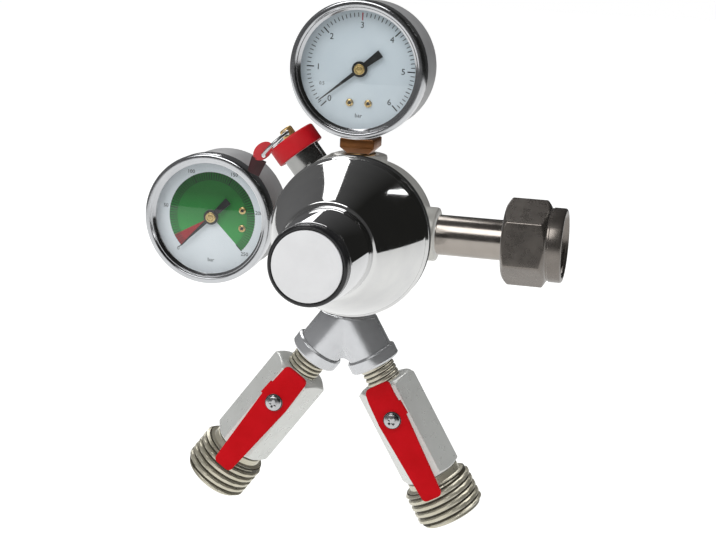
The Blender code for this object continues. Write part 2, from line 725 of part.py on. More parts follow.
def make_inlet(axis, finishes):
    thread_r = PORT_THREAD_R - GAP
    start = PORT_REACH - PORT_DEPTH + GAP
    shoulder = PORT_REACH + GAP
    stem = [
        (STEM_BORE_R, start),
        (thread_r, start),
        (thread_r, shoulder),
        (STEM_R, shoulder),
        (STEM_R, NUT_SHOULDER + GAP),
        (NIPPLE_R, NUT_SHOULDER + GAP),
        (NIPPLE_R, NIPPLE_END - 0.8 * MM),
        (NIPPLE_R - 0.8 * MM, NIPPLE_END),
        (STEM_BORE_R, NIPPLE_END),
    ]
    turned("inlet_stem", axis, stem, ROUND_FACETS, finishes["warm_nickel"])
    gasket = tube_profile(STEM_BORE_R + GAP, NIPPLE_R - GAP, NIPPLE_END + GAP, SEAL_FACE)
    turned("inlet_gasket", axis, gasket, ROUND_FACETS, finishes["seal_white"])
    hex_end = NUT_END - NUT_COLLAR
    nut = hexagon("inlet_nut", axis, NUT_HEX, NUT_BACK, hex_end, finishes["warm_nickel"])
    collar = [
        (0, hex_end - 1 * MM),
        (NUT_COLLAR_R, hex_end - 1 * MM),
        (NUT_COLLAR_R, NUT_END - 0.8 * MM),
        (NUT_COLLAR_R - 0.8 * MM, NUT_END),
        (0, NUT_END),
    ]
    add(nut, turned("inlet_nut_collar", axis, collar, BIG_FACETS, None))
    bore = [
        (0, NUT_BACK - 1 * MM),
        (STEM_R + GAP, NUT_BACK - 1 * MM),
        (STEM_R + GAP, NUT_SHOULDER),
        (NUT_BORE_R, NUT_SHOULDER),
        (NUT_BORE_R, NUT_END + 1 * MM),
        (0, NUT_END + 1 * MM),
    ]
    cut(nut, turned("inlet_nut_bore", axis, bore, ROUND_FACETS, None))


# Gauges, in a frame on the pointer axis whose Z points forward and whose -Y points to the socket


def make_gauge(side, gauge, reach, zero, finishes):
    case_r = BEZEL_R - 0.9 * MM
    lens_back = DIAL_PLANE + LENS_LIFT
    lens_front = lens_back + LENS_THICK
    case_front = lens_back - GAP
    make_gauge_shell(side, gauge, case_r, case_front, lens_back, lens_front, finishes)
    make_gauge_face(side, gauge, case_r, finishes)
    make_gauge_socket(side, gauge, reach, case_r, finishes)
    make_bourdon_tube(side, gauge, finishes)
    make_pointer(side, gauge, zero, finishes)


def make_gauge_shell(side, gauge, case_r, case_front, lens_back, lens_front, finishes):
    back = -CASE_BACK
    edge = 1.2 * MM
    cup = [
        (0, back),
        (case_r - edge, back),
        (case_r, back + edge),
        (case_r, case_front),
        (case_r - CASE_WALL, case_front),
        (case_r - CASE_WALL, back + CASE_WALL),
        (0, back + CASE_WALL),
    ]
    case = turned(side + "_gauge_case", gauge, cup, BIG_FACETS, finishes["case_steel"])
    hole = frame(side + "_gauge_hole", gauge, (0, 0, 0), (0, -1, 0), (0, 0, 1))
    hole_r = SOCKET_NECK / math.sqrt(2) + GAP
    cut(case, rod(side + "_gauge_hole_cut", hole, hole_r, case_r - 4 * MM, case_r + 4 * MM, SMALL_FACETS))
    skirt = lens_front + GAP - BEZEL_SKIRT
    front = lens_front + GAP + BEZEL_LIP
    inside = case_r + GAP
    bezel = [
        (inside, skirt),
        (BEZEL_R, skirt),
        (BEZEL_R, front - 1.4 * MM),
        (BEZEL_R - 0.5 * MM, front - 0.4 * MM),
        (BEZEL_R - 1.5 * MM, front),
        (WINDOW_R + 1.0 * MM, front - 0.2 * MM),
        (WINDOW_R, lens_front + GAP),
        (inside, lens_front + GAP),
    ]
    turned(side + "_gauge_bezel", gauge, bezel, BIG_FACETS, finishes["chrome"])
    rod(side + "_gauge_lens", gauge, case_r - GAP, lens_back, lens_front, ROUND_FACETS, finishes["lens"])


def make_gauge_face(side, gauge, case_r, finishes):
    low = DIAL_PLANE - DIAL_THICK
    dial_r = case_r - CASE_WALL - GAP
    profile = tube_profile(ARBOR_R + GAP, dial_r, low, DIAL_PLANE)
    dial = turned(side + "_gauge_dial", gauge, profile, ROUND_FACETS, finishes["dial_white"])
    for letter, direction in (("a", -1), ("b", 1)):
        at = (direction * DIAL_SCREW_SPREAD, -DIAL_SCREW_DROP, 0)
        axis = frame(side + "_dial_screw_axis_" + letter, gauge, at, (0, 0, 1), (0, 1, 0))
        hole = DIAL_SCREW_SHANK_R + GAP
        through = (low - MM, DIAL_PLANE + MM)
        cut(dial, rod(side + "_dial_screw_hole_" + letter, axis, hole, *through, TINY_FACETS))
        head = DIAL_PLANE + GAP
        profile = [
            (0, head - DIAL_SCREW_LENGTH),
            (DIAL_SCREW_SHANK_R, head - DIAL_SCREW_LENGTH),
            (DIAL_SCREW_SHANK_R, head),
            (DIAL_SCREW_R, head),
            (DIAL_SCREW_R, head + DIAL_SCREW_HEAD),
            (0, head + DIAL_SCREW_HEAD),
        ]
        turned(side + "_dial_screw_" + letter, axis, profile, TINY_FACETS, finishes["brass"])


def make_gauge_socket(side, gauge, reach, case_r, finishes):
    """Brass socket: thread in the body's port, a square outside the case and a neck inside it."""
    axis = frame(side + "_gauge_socket_axis", gauge, (0, 0, 0), (0, -1, 0), (0, 0, 1))
    flat = SOCKET_SQUARE / 2
    low = BEZEL_R + GAP
    high = reach - PORT_REACH - EXPOSED_THREAD
    neck = SOCKET_NECK / 2
    brass = finishes["brass"]
    socket = block(side + "_gauge_socket", axis, (-neck, -neck, SOCKET_TOP), (neck, neck, low + MM), brass)
    add(socket, block(side + "_socket_square", axis, (-flat, -flat, low), (flat, flat, high)))
    add(socket, tube_holder(side, gauge, neck))
    thread_r = PORT_THREAD_R - GAP
    end = reach - PORT_REACH + PORT_DEPTH - GAP
    thread = [
        (0, high - MM),
        (thread_r, high - MM),
        (thread_r, end - MM),
        (thread_r - MM, end),
        (0, end),
    ]
    add(socket, turned(side + "_socket_thread", axis, thread, SMALL_FACETS, None))
    bore_start = SOCKET_TOP + SOCKET_BORE_STOP
    cut(socket, rod(side + "_socket_bore", axis, SOCKET_BORE_R, bore_start, end + MM, TINY_FACETS))
    hole_r = DIAL_SCREW_SHANK_R + GAP
    tip = DIAL_PLANE - DIAL_SCREW_LENGTH
    for letter, direction in (("a", -1), ("b", 1)):
        at = (direction * DIAL_SCREW_SPREAD, -DIAL_SCREW_DROP, 0)
        hole = frame(side + "_socket_screw_axis_" + letter, gauge, at, (0, 0, 1), (0, 1, 0))
        tool = rod(side + "_socket_screw_hole_" + letter, hole, hole_r, tip - MM, DIAL_PLANE, TINY_FACETS)
        cut(socket, tool)


def tube_holder(side, gauge, neck):
    """A lug from the socket's neck back to the tube, ending flat against the tube's first end."""
    angle = TUBE_START - GAP / TUBE_R
    inner, outer = TUBE_R - HOLDER_WALL, TUBE_R + HOLDER_WALL
    outline = [
        (-neck, inner * math.sin(angle)),
        (-neck, outer * math.sin(angle)),
        (outer * math.cos(angle), outer * math.sin(angle)),
        (inner * math.cos(angle), inner * math.sin(angle)),
    ]
    back = TUBE_PLANE - TUBE_WIDTH / 2
    return prism(side + "_tube_holder", gauge, outline, back, MM - neck)


def make_bourdon_tube(side, gauge, finishes):
    """A flattened tube bent into an open C behind the dial, from the socket round to its free tip."""
    half = TUBE_THICK / 2
    low, high = TUBE_PLANE - TUBE_WIDTH / 2, TUBE_PLANE + TUBE_WIDTH / 2
    ease = 0.7 * MM
    outline = [
        (TUBE_R - half, low + ease),
        (TUBE_R, low),
        (TUBE_R + half, low + ease),
        (TUBE_R + half, high - ease),
        (TUBE_R, high),
        (TUBE_R - half, high - ease),
    ]
    bm = bmesh.new()
    turn = Matrix.Rotation(TUBE_START, 4, "Z")
    face = bm.faces.new([bm.verts.new(turn @ Vector((r, 0, z))) for r, z in outline])
    geom = [face] + list(face.edges) + list(face.verts)
    bmesh.ops.spin(bm, geom=geom, axis=(0, 0, 1), cent=(0, 0, 0), angle=TUBE_SPAN, steps=TUBE_STEPS)
    place(side + "_bourdon_tube", bm, gauge, finishes["brass"])


def make_pointer(side, gauge, zero, finishes):
    """Tapered needle with a broad tail, a hub and an arbor, resting on zero."""
    low = DIAL_PLANE + POINTER_LIFT
    high = low + POINTER_THICK
    up = (-math.sin(zero), math.cos(zero), 0)
    arm = frame(side + "_pointer_arm", gauge, (0, 0, 0), (0, 0, 1), up)
    half, tail = POINTER_WIDTH / 2, TAIL_WIDTH / 2
    outline = [
        (POINTER_TIP, 0.12 * MM),
        (0, half),
        (-POINTER_TAIL, tail),
        (-POINTER_TAIL - 0.6 * MM, 0),
        (-POINTER_TAIL, -tail),
        (0, -half),
        (POINTER_TIP, -0.12 * MM),
    ]
    pointer = prism(side + "_pointer", arm, outline, low, high, finishes["pointer_black"])
    hub = [
        (0, DIAL_PLANE - ARBOR_LENGTH),
        (ARBOR_R, DIAL_PLANE - ARBOR_LENGTH),
        (ARBOR_R, low - 0.2 * MM),
        (POINTER_HUB_R, low - 0.2 * MM),
        (POINTER_HUB_R, high + 0.3 * MM),
        (0.6 * POINTER_HUB_R, high + 0.8 * MM),
        (0, high + 0.8 * MM),
    ]
    add(pointer, turned(side + "_pointer_hub", arm, hub, TINY_FACETS, None))


# Relief valve, in a frame whose Z points out of the body


def make_relief_valve(axis, finishes):
    base = PORT_REACH + GAP
    top = base + RELIEF_LENGTH
    bore = RELIEF_R - RELIEF_WALL
    thread_r = PORT_THREAD_R - GAP
    start = PORT_REACH - PORT_DEPTH + GAP
    floor = base + 1.2 * MM
    body = [
        (PORT_BORE_R - 0.4 * MM, start),
        (thread_r, start),
        (thread_r, base),
        (RELIEF_R, base),
        (RELIEF_R, top),
        (bore, top),
        (bore, floor),
        (PORT_BORE_R - 0.4 * MM, floor),
    ]
    turned("relief_body", axis, body, ROUND_FACETS, finishes["chrome"])
    cap_low = top - RELIEF_CAP_OVERLAP
    cap_high = cap_low + RELIEF_CAP_LENGTH
    ceiling = top + GAP
    cap = [
        (RELIEF_R + GAP, cap_low),
        (RELIEF_CAP_R - 0.5 * MM, cap_low),
        (RELIEF_CAP_R, cap_low + 0.5 * MM),
        (RELIEF_CAP_R, cap_high - 0.8 * MM),
        (RELIEF_CAP_R - 0.8 * MM, cap_high),
        (RELIEF_ROD_R + GAP, cap_high),
        (RELIEF_ROD_R + GAP, ceiling),
        (RELIEF_R + GAP, ceiling),
    ]
    turned("relief_cap", axis, cap, ROUND_FACETS, finishes["red_paint"])
    pad_low = floor + GAP
    pad_high = pad_low + RELIEF_PAD_THICK
    head_low = cap_high + GAP
    head_high = head_low + RELIEF_HEAD
    stem = [
        (0, pad_low),
        (RELIEF_PAD_R, pad_low),
        (RELIEF_PAD_R, pad_high),
        (RELIEF_ROD_R, pad_high),
        (RELIEF_ROD_R, head_low),
        (RELIEF_HEAD_R, head_low),
        (RELIEF_HEAD_R, head_high - 0.4 * MM),
        (RELIEF_HEAD_R - 0.4 * MM, head_high),
        (0, head_high),
    ]
    stem_solid = turned("relief_stem", axis, stem, SMALL_FACETS, finishes["brass"])
    eye_height = (head_low + head_high) / 2
    eye = frame("pull_ring_eye", axis, (0, 0, eye_height), (0, 1, 0), (0, 0, 1))
    cut(stem_solid, rod("relief_eye_cut", eye, EYE_R, -2 * RELIEF_HEAD_R, 2 * RELIEF_HEAD_R, TINY_FACETS))
    mean = (RELIEF_ROD_R + bore) / 2
    coil(
        "relief_spring", axis, mean, RELIEF_WIRE_R, pad_high + GAP, ceiling - GAP, RELIEF_TURNS,
        finishes["spring_steel"],
    )
    make_pull_ring(eye, finishes)


def ring_mesh(ring_r, wire_r, around, sides):
    """A wire ring whose axis is X and whose centre lies ring_r along +Y from the origin."""
    profile = []
    for k in range(sides):
        angle = 2 * math.pi * k / sides
        profile.append((ring_r + wire_r * math.cos(angle), wire_r * math.sin(angle)))
    bm = turned_mesh(profile, around)
    stand = Matrix.Translation((0, ring_r, 0)) @ Matrix.Rotation(math.pi / 2, 4, "Y")
    bmesh.ops.transform(bm, matrix=stand, verts=bm.verts)
    return bm


def make_pull_ring(eye, finishes):
    """The ring threads the eye along the eye's Z axis and swings about it."""
    hanging = (-math.sin(PULL_ANGLE), math.cos(PULL_ANGLE), 0)
    swing = frame("pull_ring_swing", eye, (0, 0, 0), (0, 0, 1), hanging)
    place("pull_ring", ring_mesh(PULL_RING_R, PULL_WIRE_R, ROUND_FACETS, 6), swing, finishes["steel"])
    outline = []
    for k in range(16):
        angle = 2 * math.pi * k / 16
        outline.append((TAG_LENGTH / 2 * math.cos(angle), TAG_WIDTH / 2 * math.sin(angle)))
    at = (0, PULL_RING_R * (1 + math.cos(TAG_HANG)), PULL_RING_R * math.sin(TAG_HANG))
    wire = (0, -math.sin(TAG_HANG), math.cos(TAG_HANG))
    holder = frame("ring_tag_hole", swing, at, wire, (1, 0, 0))
    hole = PULL_WIRE_R + GAP
    shifted = [(x + TAG_INWARD, y + TAG_ASIDE) for x, y in outline]
    tag = prism("ring_tag", holder, shifted, -TAG_THICK / 2, TAG_THICK / 2, finishes["red_paint"])
    cut(tag, rod("ring_tag_hole_cut", holder, hole, -2 * MM, 2 * MM, TINY_FACETS))


# Wye and shut-off valves


def leg_frame(name, wye, direction):
    """Z runs down the leg, Y faces forward."""
    down = (direction * math.sin(WYE_ANGLE), 0, -math.cos(WYE_ANGLE))
    return frame(name, wye, (0, 0, 0), down, (0, -1, 0))


def make_wye(wye, legs, finishes):
    """Two leg cylinders that meet, a flat top, a threaded neck, a collar on each leg and a filled crotch."""
    web_low = LEG_R / math.sin(WYE_ANGLE) + CROTCH_FILL
    web = frame("wye_web_axis", wye, (0, 0, 0), (0, -1, 0), (0, 0, 1))
    spread = web_low * math.tan(WYE_ANGLE) - LEG_R / math.cos(WYE_ANGLE) + 1.5 * MM
    wedge = [(-0.2 * MM, 0), (0.2 * MM, 0), (spread, -web_low), (-spread, -web_low)]
    solid = rod("wye", legs[0], LEG_R, -3 * MM, LEG_END, ROUND_FACETS, finishes["cast_grey"])
    add(solid, rod("wye_other_leg", legs[1], LEG_R, -3.1 * MM, LEG_END, ROUND_FACETS))
    add(solid, prism("wye_web", web, wedge, -WEB_HALF, WEB_HALF))
    relief = rod("wye_web_round", web, CROTCH_ROUND_R, -LEG_R, LEG_R, SMALL_FACETS)
    relief.location = (0, -web_low - CROTCH_ROUND_DROP, 0)
    cut(solid, relief)
    for letter, leg in zip("lr", legs):
        edge = 0.7 * MM
        low = LEG_END - LEG_COLLAR
        collar = [
            (0, low),
            (LEG_COLLAR_R - edge, low),
            (LEG_COLLAR_R, low + edge),
            (LEG_COLLAR_R, LEG_END + MM - edge),
            (LEG_COLLAR_R - edge, LEG_END + MM),
            (0, LEG_END + MM),
        ]
        add(solid, turned("wye_collar_" + letter, leg, collar, ROUND_FACETS, None))
    lift = WYE_APEX - WYE_TOP
    past = 3 * LEG_R
    cut(solid, block("wye_top_cut", wye, (-past, -past, lift), (past, past, lift + past)))
    neck_r = PORT_THREAD_R - GAP
    neck_top = WYE_APEX - PORT_REACH + PORT_DEPTH - GAP
    add(solid, rod("wye_neck", wye, neck_r, lift - 2 * MM, neck_top, SMALL_FACETS))
    cut(solid, rod("wye_neck_bore", wye, PORT_BORE_R, -4 * MM, neck_top + MM, TINY_FACETS))
    for letter, leg in zip("lr", legs):
        floor = LEG_END + MM - LEG_SOCKET_DEPTH
        end = LEG_END + 2 * MM
        narrow = LEG_BORE_R - MM
        bore = [(0, 0), (narrow, 0), (narrow, floor), (LEG_SOCKET_R, floor), (LEG_SOCKET_R, end), (0, end)]
        cut(solid, turned("wye_bore_" + letter, leg, bore, ROUND_FACETS, None))


def seat_profile(low, high, face_up):
    """A ring whose inner corner is cut to a cone that faces the ball."""
    inner, outer = VALVE_BORE_R + 0.4 * MM, CAVITY_R - GAP
    cone = SEAT_CONE_R
    near = math.sqrt(BALL_R**2 - inner**2) + SEAT_CLEARANCE
    far = math.sqrt(BALL_R**2 - cone**2) + SEAT_CLEARANCE
    if face_up:
        return [(inner, low), (outer, low), (outer, PIVOT - far), (cone, PIVOT - far), (inner, PIVOT - near)]
    return [(inner, PIVOT + near), (cone, PIVOT + far), (outer, PIVOT + far), (outer, high), (inner, high)]


def make_valve_body(side, leg, finishes):
    end = VALVE_START + VALVE_LENGTH
    neck_start = LEG_END + MM - LEG_SOCKET_DEPTH + GAP
    body = hexagon(side + "_valve_body", leg, VALVE_HEX, VALVE_START, end, finishes["green_nickel"])
    add(body, rod(side + "_valve_neck", leg, LEG_SOCKET_R - GAP, neck_start, VALVE_START + MM, ROUND_FACETS))
    axis = frame(side + "_stem_axis", leg, (0, 0, PIVOT), (0, 1, 0), (0, 0, 1))
    flat = VALVE_HEX / 2
    add(body, rod(side + "_gland", axis, GLAND_R, flat - MM, flat + GLAND_HEIGHT, SMALL_FACETS))
    bore = [
        (0, neck_start - MM),
        (VALVE_BORE_R, neck_start - MM),
        (VALVE_BORE_R, CAVITY_START),
        (CAVITY_R, CAVITY_START),
        (CAVITY_R, end + MM),
        (0, end + MM),
    ]
    cut(body, turned(side + "_valve_cavity", leg, bore, BORE_FACETS, None))
    hole = VALVE_STEM_R + GAP
    cut(body, rod(side + "_stem_hole", axis, hole, 3 * MM, flat + GLAND_HEIGHT + MM, SMALL_FACETS))
    return axis


def make_outlet(side, leg, finishes):
    plug_r = CAVITY_R - GAP
    start = PIVOT + SEAT_LENGTH + 5.0 * MM
    shoulder = VALVE_START + VALVE_LENGTH + GAP
    neck_end = shoulder + NECK_LENGTH
    edge = 1.2 * MM
    recess = OUTLET_END - OUTLET_RECESS
    nipple = [
        (VALVE_BORE_R, start),
        (plug_r, start),
        (plug_r, shoulder),
        (NECK_R, shoulder),
        (NECK_R, neck_end),
        (OUTLET_THREAD_R - edge, neck_end),
        (OUTLET_THREAD_R, neck_end + edge),
        (OUTLET_THREAD_R, OUTLET_END - edge),
        (OUTLET_THREAD_R - edge, OUTLET_END),
        (OUTLET_RECESS_R, OUTLET_END),
        (OUTLET_RECESS_R, recess),
        (VALVE_BORE_R, recess),
    ]
    turned(side + "_outlet_nipple", leg, nipple, ROUND_FACETS, finishes["green_nickel"])
    inlet_seat = seat_profile(CAVITY_START + GAP, 0, True)
    outlet_seat = seat_profile(0, start - GAP, False)
    turned(side + "_inlet_seat", leg, inlet_seat, SMALL_FACETS, finishes["seal_white"])
    turned(side + "_outlet_seat", leg, outlet_seat, SMALL_FACETS, finishes["seal_white"])


def make_ball(side, axis, finishes):
    """Ball with its bore along the leg and a slot across the top for the stem's tang."""
    steps = SMALL_FACETS
    turns = [math.pi * k / steps - math.pi / 2 for k in range(1, steps)]
    arc = [(BALL_R * math.cos(a), BALL_R * math.sin(a)) for a in turns]
    ball = turned(side + "_ball", axis, [(0, -BALL_R)] + arc + [(0, BALL_R)], BORE_FACETS, finishes["steel"])
    bore = frame(side + "_ball_bore_axis", axis, (0, 0, 0), (0, 1, 0), (0, 0, 1))
    cut(ball, rod(side + "_ball_bore", bore, VALVE_BORE_R, -2 * BALL_R, 2 * BALL_R, SMALL_FACETS))
    half = SLOT_WIDTH / 2
    floor = BALL_R - SLOT_DEPTH
    cut(ball, block(side + "_ball_slot", axis, (-half, -BALL_R, floor), (half, BALL_R, 2 * BALL_R)))


def make_valve_stem(side, axis, finishes):
    top = VALVE_HEX / 2 + GLAND_HEIGHT + LEVER_THICK
    low = BALL_R + 0.4 * MM
    stem = rod(side + "_valve_stem", axis, VALVE_STEM_R, low, top, SMALL_FACETS, finishes["brass"])
    half = SLOT_WIDTH / 2 - GAP
    reach = 2.3 * MM
    tang_low = BALL_R - SLOT_DEPTH + GAP
    add(stem, block(side + "_stem_tang", axis, (-half, -reach, tang_low), (half, reach, low + 0.5 * MM)))
    hole = LEVER_SCREW_SHANK_R + GAP
    bottom = top - LEVER_SCREW_LENGTH - GAP
    cut(stem, rod(side + "_stem_screw_hole", axis, hole, bottom, top + MM, TINY_FACETS))
    return top


def lever_outline(outer):
    """Seen from the front: squared short end, widest at the screw, tapering to the tip, with a stop tab."""
    short, wide, tip = LEVER_END_WIDTH / 2, LEVER_WIDTH / 2, LEVER_TIP_WIDTH / 2
    corner = 1.5 * MM
    tab_edge = short + (wide - short) * (LEVER_SHORT - LEVER_TAB_LENGTH) / LEVER_SHORT
    tabbed = [
        (short - corner, -LEVER_SHORT),
        (short, corner - LEVER_SHORT),
        (tab_edge, -LEVER_TAB_LENGTH),
        (wide + LEVER_TAB, -LEVER_TAB_LENGTH),
        (wide + LEVER_TAB, 0.0),
        (wide, 0.0),
        (tip, LEVER_LONG - corner),
        (tip - corner, LEVER_LONG),
    ]
    plain = [
        (corner - tip, LEVER_LONG),
        (-tip, LEVER_LONG - corner),
        (-wide, 0.0),
        (-short, corner - LEVER_SHORT),
        (corner - short, -LEVER_SHORT),
    ]
    return [(x * outer, y) for x, y in tabbed + plain]


def make_lever(side, axis, stem_top, outer, finishes):
    """A flat strip whose short end bends down towards the valve."""
    low = VALVE_HEX / 2 + GLAND_HEIGHT + GAP
    high = low + LEVER_THICK
    red = finishes["red_paint"]
    lever = prism(side + "_lever", axis, lever_outline(outer), low - 2 * LEVER_DROP, high + MM, red)
    bend = LEVER_SHORT - LEVER_BEND
    past = LEVER_SHORT + 2 * MM
    fall = LEVER_DROP * (past - bend) / LEVER_BEND
    far = LEVER_LONG + 2 * MM
    strip = [(-past, low - fall), (-bend, low), (far, low), (far, high), (-bend, high), (-past, high - fall)]
    beside = frame(side + "_lever_side", axis, (0, 0, 0), (1, 0, 0), (0, 0, 1))
    combine(lever, prism(side + "_lever_strip", beside, strip, -LEVER_WIDTH, LEVER_WIDTH), "INTERSECT")
    cut(lever, rod(side + "_lever_hole", axis, VALVE_STEM_R + GAP, low - MM, high + MM, SMALL_FACETS))
    head = high + GAP
    screw = [
        (0, stem_top - LEVER_SCREW_LENGTH),
        (LEVER_SCREW_SHANK_R, stem_top - LEVER_SCREW_LENGTH),
        (LEVER_SCREW_SHANK_R, head),
        (LEVER_SCREW_R, head),
        (LEVER_SCREW_R, head + 0.9 * MM),
        (0.8 * LEVER_SCREW_R, head + 0.75 * LEVER_SCREW_HEAD),
        (0.4 * LEVER_SCREW_R, head + LEVER_SCREW_HEAD),
        (0, head + LEVER_SCREW_HEAD),
    ]
    turned(side + "_lever_screw", axis, screw, SMALL_FACETS, finishes["steel"])


def make_valve(side, leg, outer, finishes):
    """The sign outer points from the valve's own axis away from the other valve, along the stem frame's X."""
    axis = make_valve_body(side, leg, finishes)
    make_outlet(side, leg, finishes)
    make_ball(side, axis, finishes)
    top = make_valve_stem(side, axis, finishes)
    make_lever(side, axis, top, outer, finishes)


def main():
    clear_scene()
    finishes = make_finishes()
    regulator = frame("regulator", None, (-SEAL_FACE, 0, 0), (0, 0, 1), (0, 1, 0))
    front = frame("front", regulator, (0, 0, 0), (0, -1, 0), (0, 0, 1))
    ports = make_ports(front)
    make_body(front, ports, finishes)
    make_bonnet(front, finishes)
    make_diaphragm(front, finishes)
    make_adjusting_train(front, finishes)
    make_nozzle_and_poppet(front, finishes)
    make_knob(front, finishes)
    make_inlet(ports["inlet"], finishes)
    low_gauge = frame("low_gauge", front, (0, GAUGE_REACH, LOW_PLANE), (0, 0, 1), (0, 1, 0))
    high_gauge = frame("high_gauge", front, (-LEFT_GAUGE_REACH, 0, 0), (0, 0, 1), (-1, 0, 0))
    make_gauge("low", low_gauge, GAUGE_REACH, ZERO_ANGLE, finishes)
    make_gauge("high", high_gauge, LEFT_GAUGE_REACH, ZERO_ANGLE - math.pi / 2, finishes)
    make_relief_valve(ports["relief"], finishes)
    up = Vector((math.sin(WYE_LEAN), 0, math.cos(WYE_LEAN)))
    apex = Vector((0, -LOW_PLANE, 0)) - WYE_APEX * up
    back = (-math.sin(WYE_TURN), math.cos(WYE_TURN), 0)
    wye = frame("wye_frame", regulator, apex, up, back)
    legs = [leg_frame("left_leg", wye, -1), leg_frame("right_leg", wye, 1)]
    make_wye(wye, legs, finishes)
    make_valve("left", legs[0], 1, finishes)
    make_valve("right", legs[1], -1, finishes)


main()
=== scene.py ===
"""Looks for the carbon dioxide regulator: detailed pieces, procedural materials, light, floor and camera.

Sizes are in millimetres in each port's own frame, as in the part's source. mesh_of() makes them metres.
"""

import math

import bmesh
import bpy
from mathutils import Matrix, Quaternion, Vector


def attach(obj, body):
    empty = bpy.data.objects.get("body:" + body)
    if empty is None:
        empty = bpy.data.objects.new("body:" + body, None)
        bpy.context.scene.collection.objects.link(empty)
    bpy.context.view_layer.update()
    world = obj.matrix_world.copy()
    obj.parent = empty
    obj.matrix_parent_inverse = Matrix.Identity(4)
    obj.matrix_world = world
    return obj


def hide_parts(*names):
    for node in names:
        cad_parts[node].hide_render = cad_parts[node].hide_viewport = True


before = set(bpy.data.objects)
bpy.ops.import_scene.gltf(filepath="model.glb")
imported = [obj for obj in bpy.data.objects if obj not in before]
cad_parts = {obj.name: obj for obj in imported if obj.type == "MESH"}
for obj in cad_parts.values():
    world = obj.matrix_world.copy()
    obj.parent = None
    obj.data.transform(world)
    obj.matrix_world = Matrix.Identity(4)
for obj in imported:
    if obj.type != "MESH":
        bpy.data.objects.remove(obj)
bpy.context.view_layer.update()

MM = 0.001
FINE, ROUND = 128, 64
PIECES = []


# Frames, in millimetres


def axes(parent, origin, forward, up):
    """A frame whose Z points along forward and whose Y leans towards up, given in its parent's frame."""
    z_axis = Vector(forward).normalized()
    x_axis = Vector(up).cross(z_axis).normalized()
    y_axis = z_axis.cross(x_axis)
    turn = Matrix((x_axis, y_axis, z_axis)).transposed().to_4x4()
    return parent @ Matrix.Translation(origin) @ turn


SEAL_FACE = 66.3
LOW_PLANE = 8.0
REGULATOR = Matrix.Translation((-SEAL_FACE, 0, 0))
FRONT = axes(REGULATOR, (0, 0, 0), (0, -1, 0), (0, 0, 1))
INLET = axes(FRONT, (0, 0, 0), (1, 0, 0), (0, 0, 1))
HIGH_PORT = axes(FRONT, (0, 0, 0), (-1, 0, 0), (0, 0, 1))
LOW_PORT = axes(FRONT, (0, 0, LOW_PLANE), (0, 1, 0), (0, 0, 1))
RELIEF_ANGLE = math.radians(129)
RELIEF = axes(FRONT, (0, 0, LOW_PLANE), (math.cos(RELIEF_ANGLE), math.sin(RELIEF_ANGLE), 0), (0, 0, 1))
LOW_REACH, HIGH_REACH = 61.3, 58.6
LOW_GAUGE = axes(FRONT, (0, LOW_REACH, LOW_PLANE), (0, 0, 1), (0, 1, 0))
HIGH_GAUGE = axes(FRONT, (-HIGH_REACH, 0, 0), (0, 0, 1), (-1, 0, 0))
HIGH_DIAL = axes(FRONT, (-HIGH_REACH, 0, 0), (0, 0, 1), (0, 1, 0))
WYE_APEX = 31.5
WYE_ANGLE, WYE_TURN, WYE_LEAN = math.radians(33), math.radians(3.5), math.radians(3)
WYE_PORT = axes(FRONT, (0, 0, LOW_PLANE), (-math.sin(WYE_LEAN), -math.cos(WYE_LEAN), 0), (0, 0, 1))
WYE_UP = Vector((math.sin(WYE_LEAN), 0, math.cos(WYE_LEAN)))
WYE = axes(REGULATOR, Vector((0, -LOW_PLANE, 0)) - WYE_APEX * WYE_UP, WYE_UP,
           (-math.sin(WYE_TURN), math.cos(WYE_TURN), 0))
LEGS = {}
STEMS = {}
PIVOT = 42.0
for side, direction in (("left", -1), ("right", 1)):
    down = (direction * math.sin(WYE_ANGLE), 0, -math.cos(WYE_ANGLE))
    LEGS[side] = axes(WYE, (0, 0, 0), down, (0, -1, 0))
    STEMS[side] = axes(LEGS[side], (0, 0, PIVOT), (0, 1, 0), (0, 0, 1))


def to_frame(parent, at):
    """The frame at, as its parent frame sees it."""
    return parent.inverted() @ at


def axis_of(at):
    return tuple(at.to_3x3().col[2])


# Shells: lists of points and faces in a local frame, in millimetres


def arc_corner(before, corner, after, radius, steps):
    """Points that round one corner of a flat outline."""
    a = Vector(before) - Vector(corner)
    b = Vector(after) - Vector(corner)
    turn = a.angle(b)
    reach = min(radius / math.tan(turn / 2), a.length * 0.49, b.length * 0.49)
    radius = reach * math.tan(turn / 2)
    start = Vector(corner) + a.normalized() * reach
    end = Vector(corner) + b.normalized() * reach
    bisector = (a.normalized() + b.normalized()).normalized()
    centre = Vector(corner) + bisector * (radius / math.sin(turn / 2))
    points = []
    for k in range(steps + 1):
        share = k / steps
        chord = start.lerp(end, share) - centre
        points.append(tuple(centre + chord.normalized() * radius))
    return points


def rounded(outline, closed, steps=4):
    """Round the corners that carry a third number, their radius."""
    flat = [tuple(p[:2]) for p in outline]
    count = len(outline)
    points = []
    for i, p in enumerate(outline):
        inner = closed or 0 < i < count - 1
        if len(p) == 3 and inner and p[2] > 0:
            points += arc_corner(flat[i - 1], flat[i], flat[(i + 1) % count], p[2], steps)
        else:
            points.append(flat[i])
    return points


def square(half_x, half_y, corner):
    """A rectangle with rounded corners."""
    return rounded([(-half_x, -half_y, corner), (half_x, -half_y, corner), (half_x, half_y, corner),
                    (-half_x, half_y, corner)], True, 3)


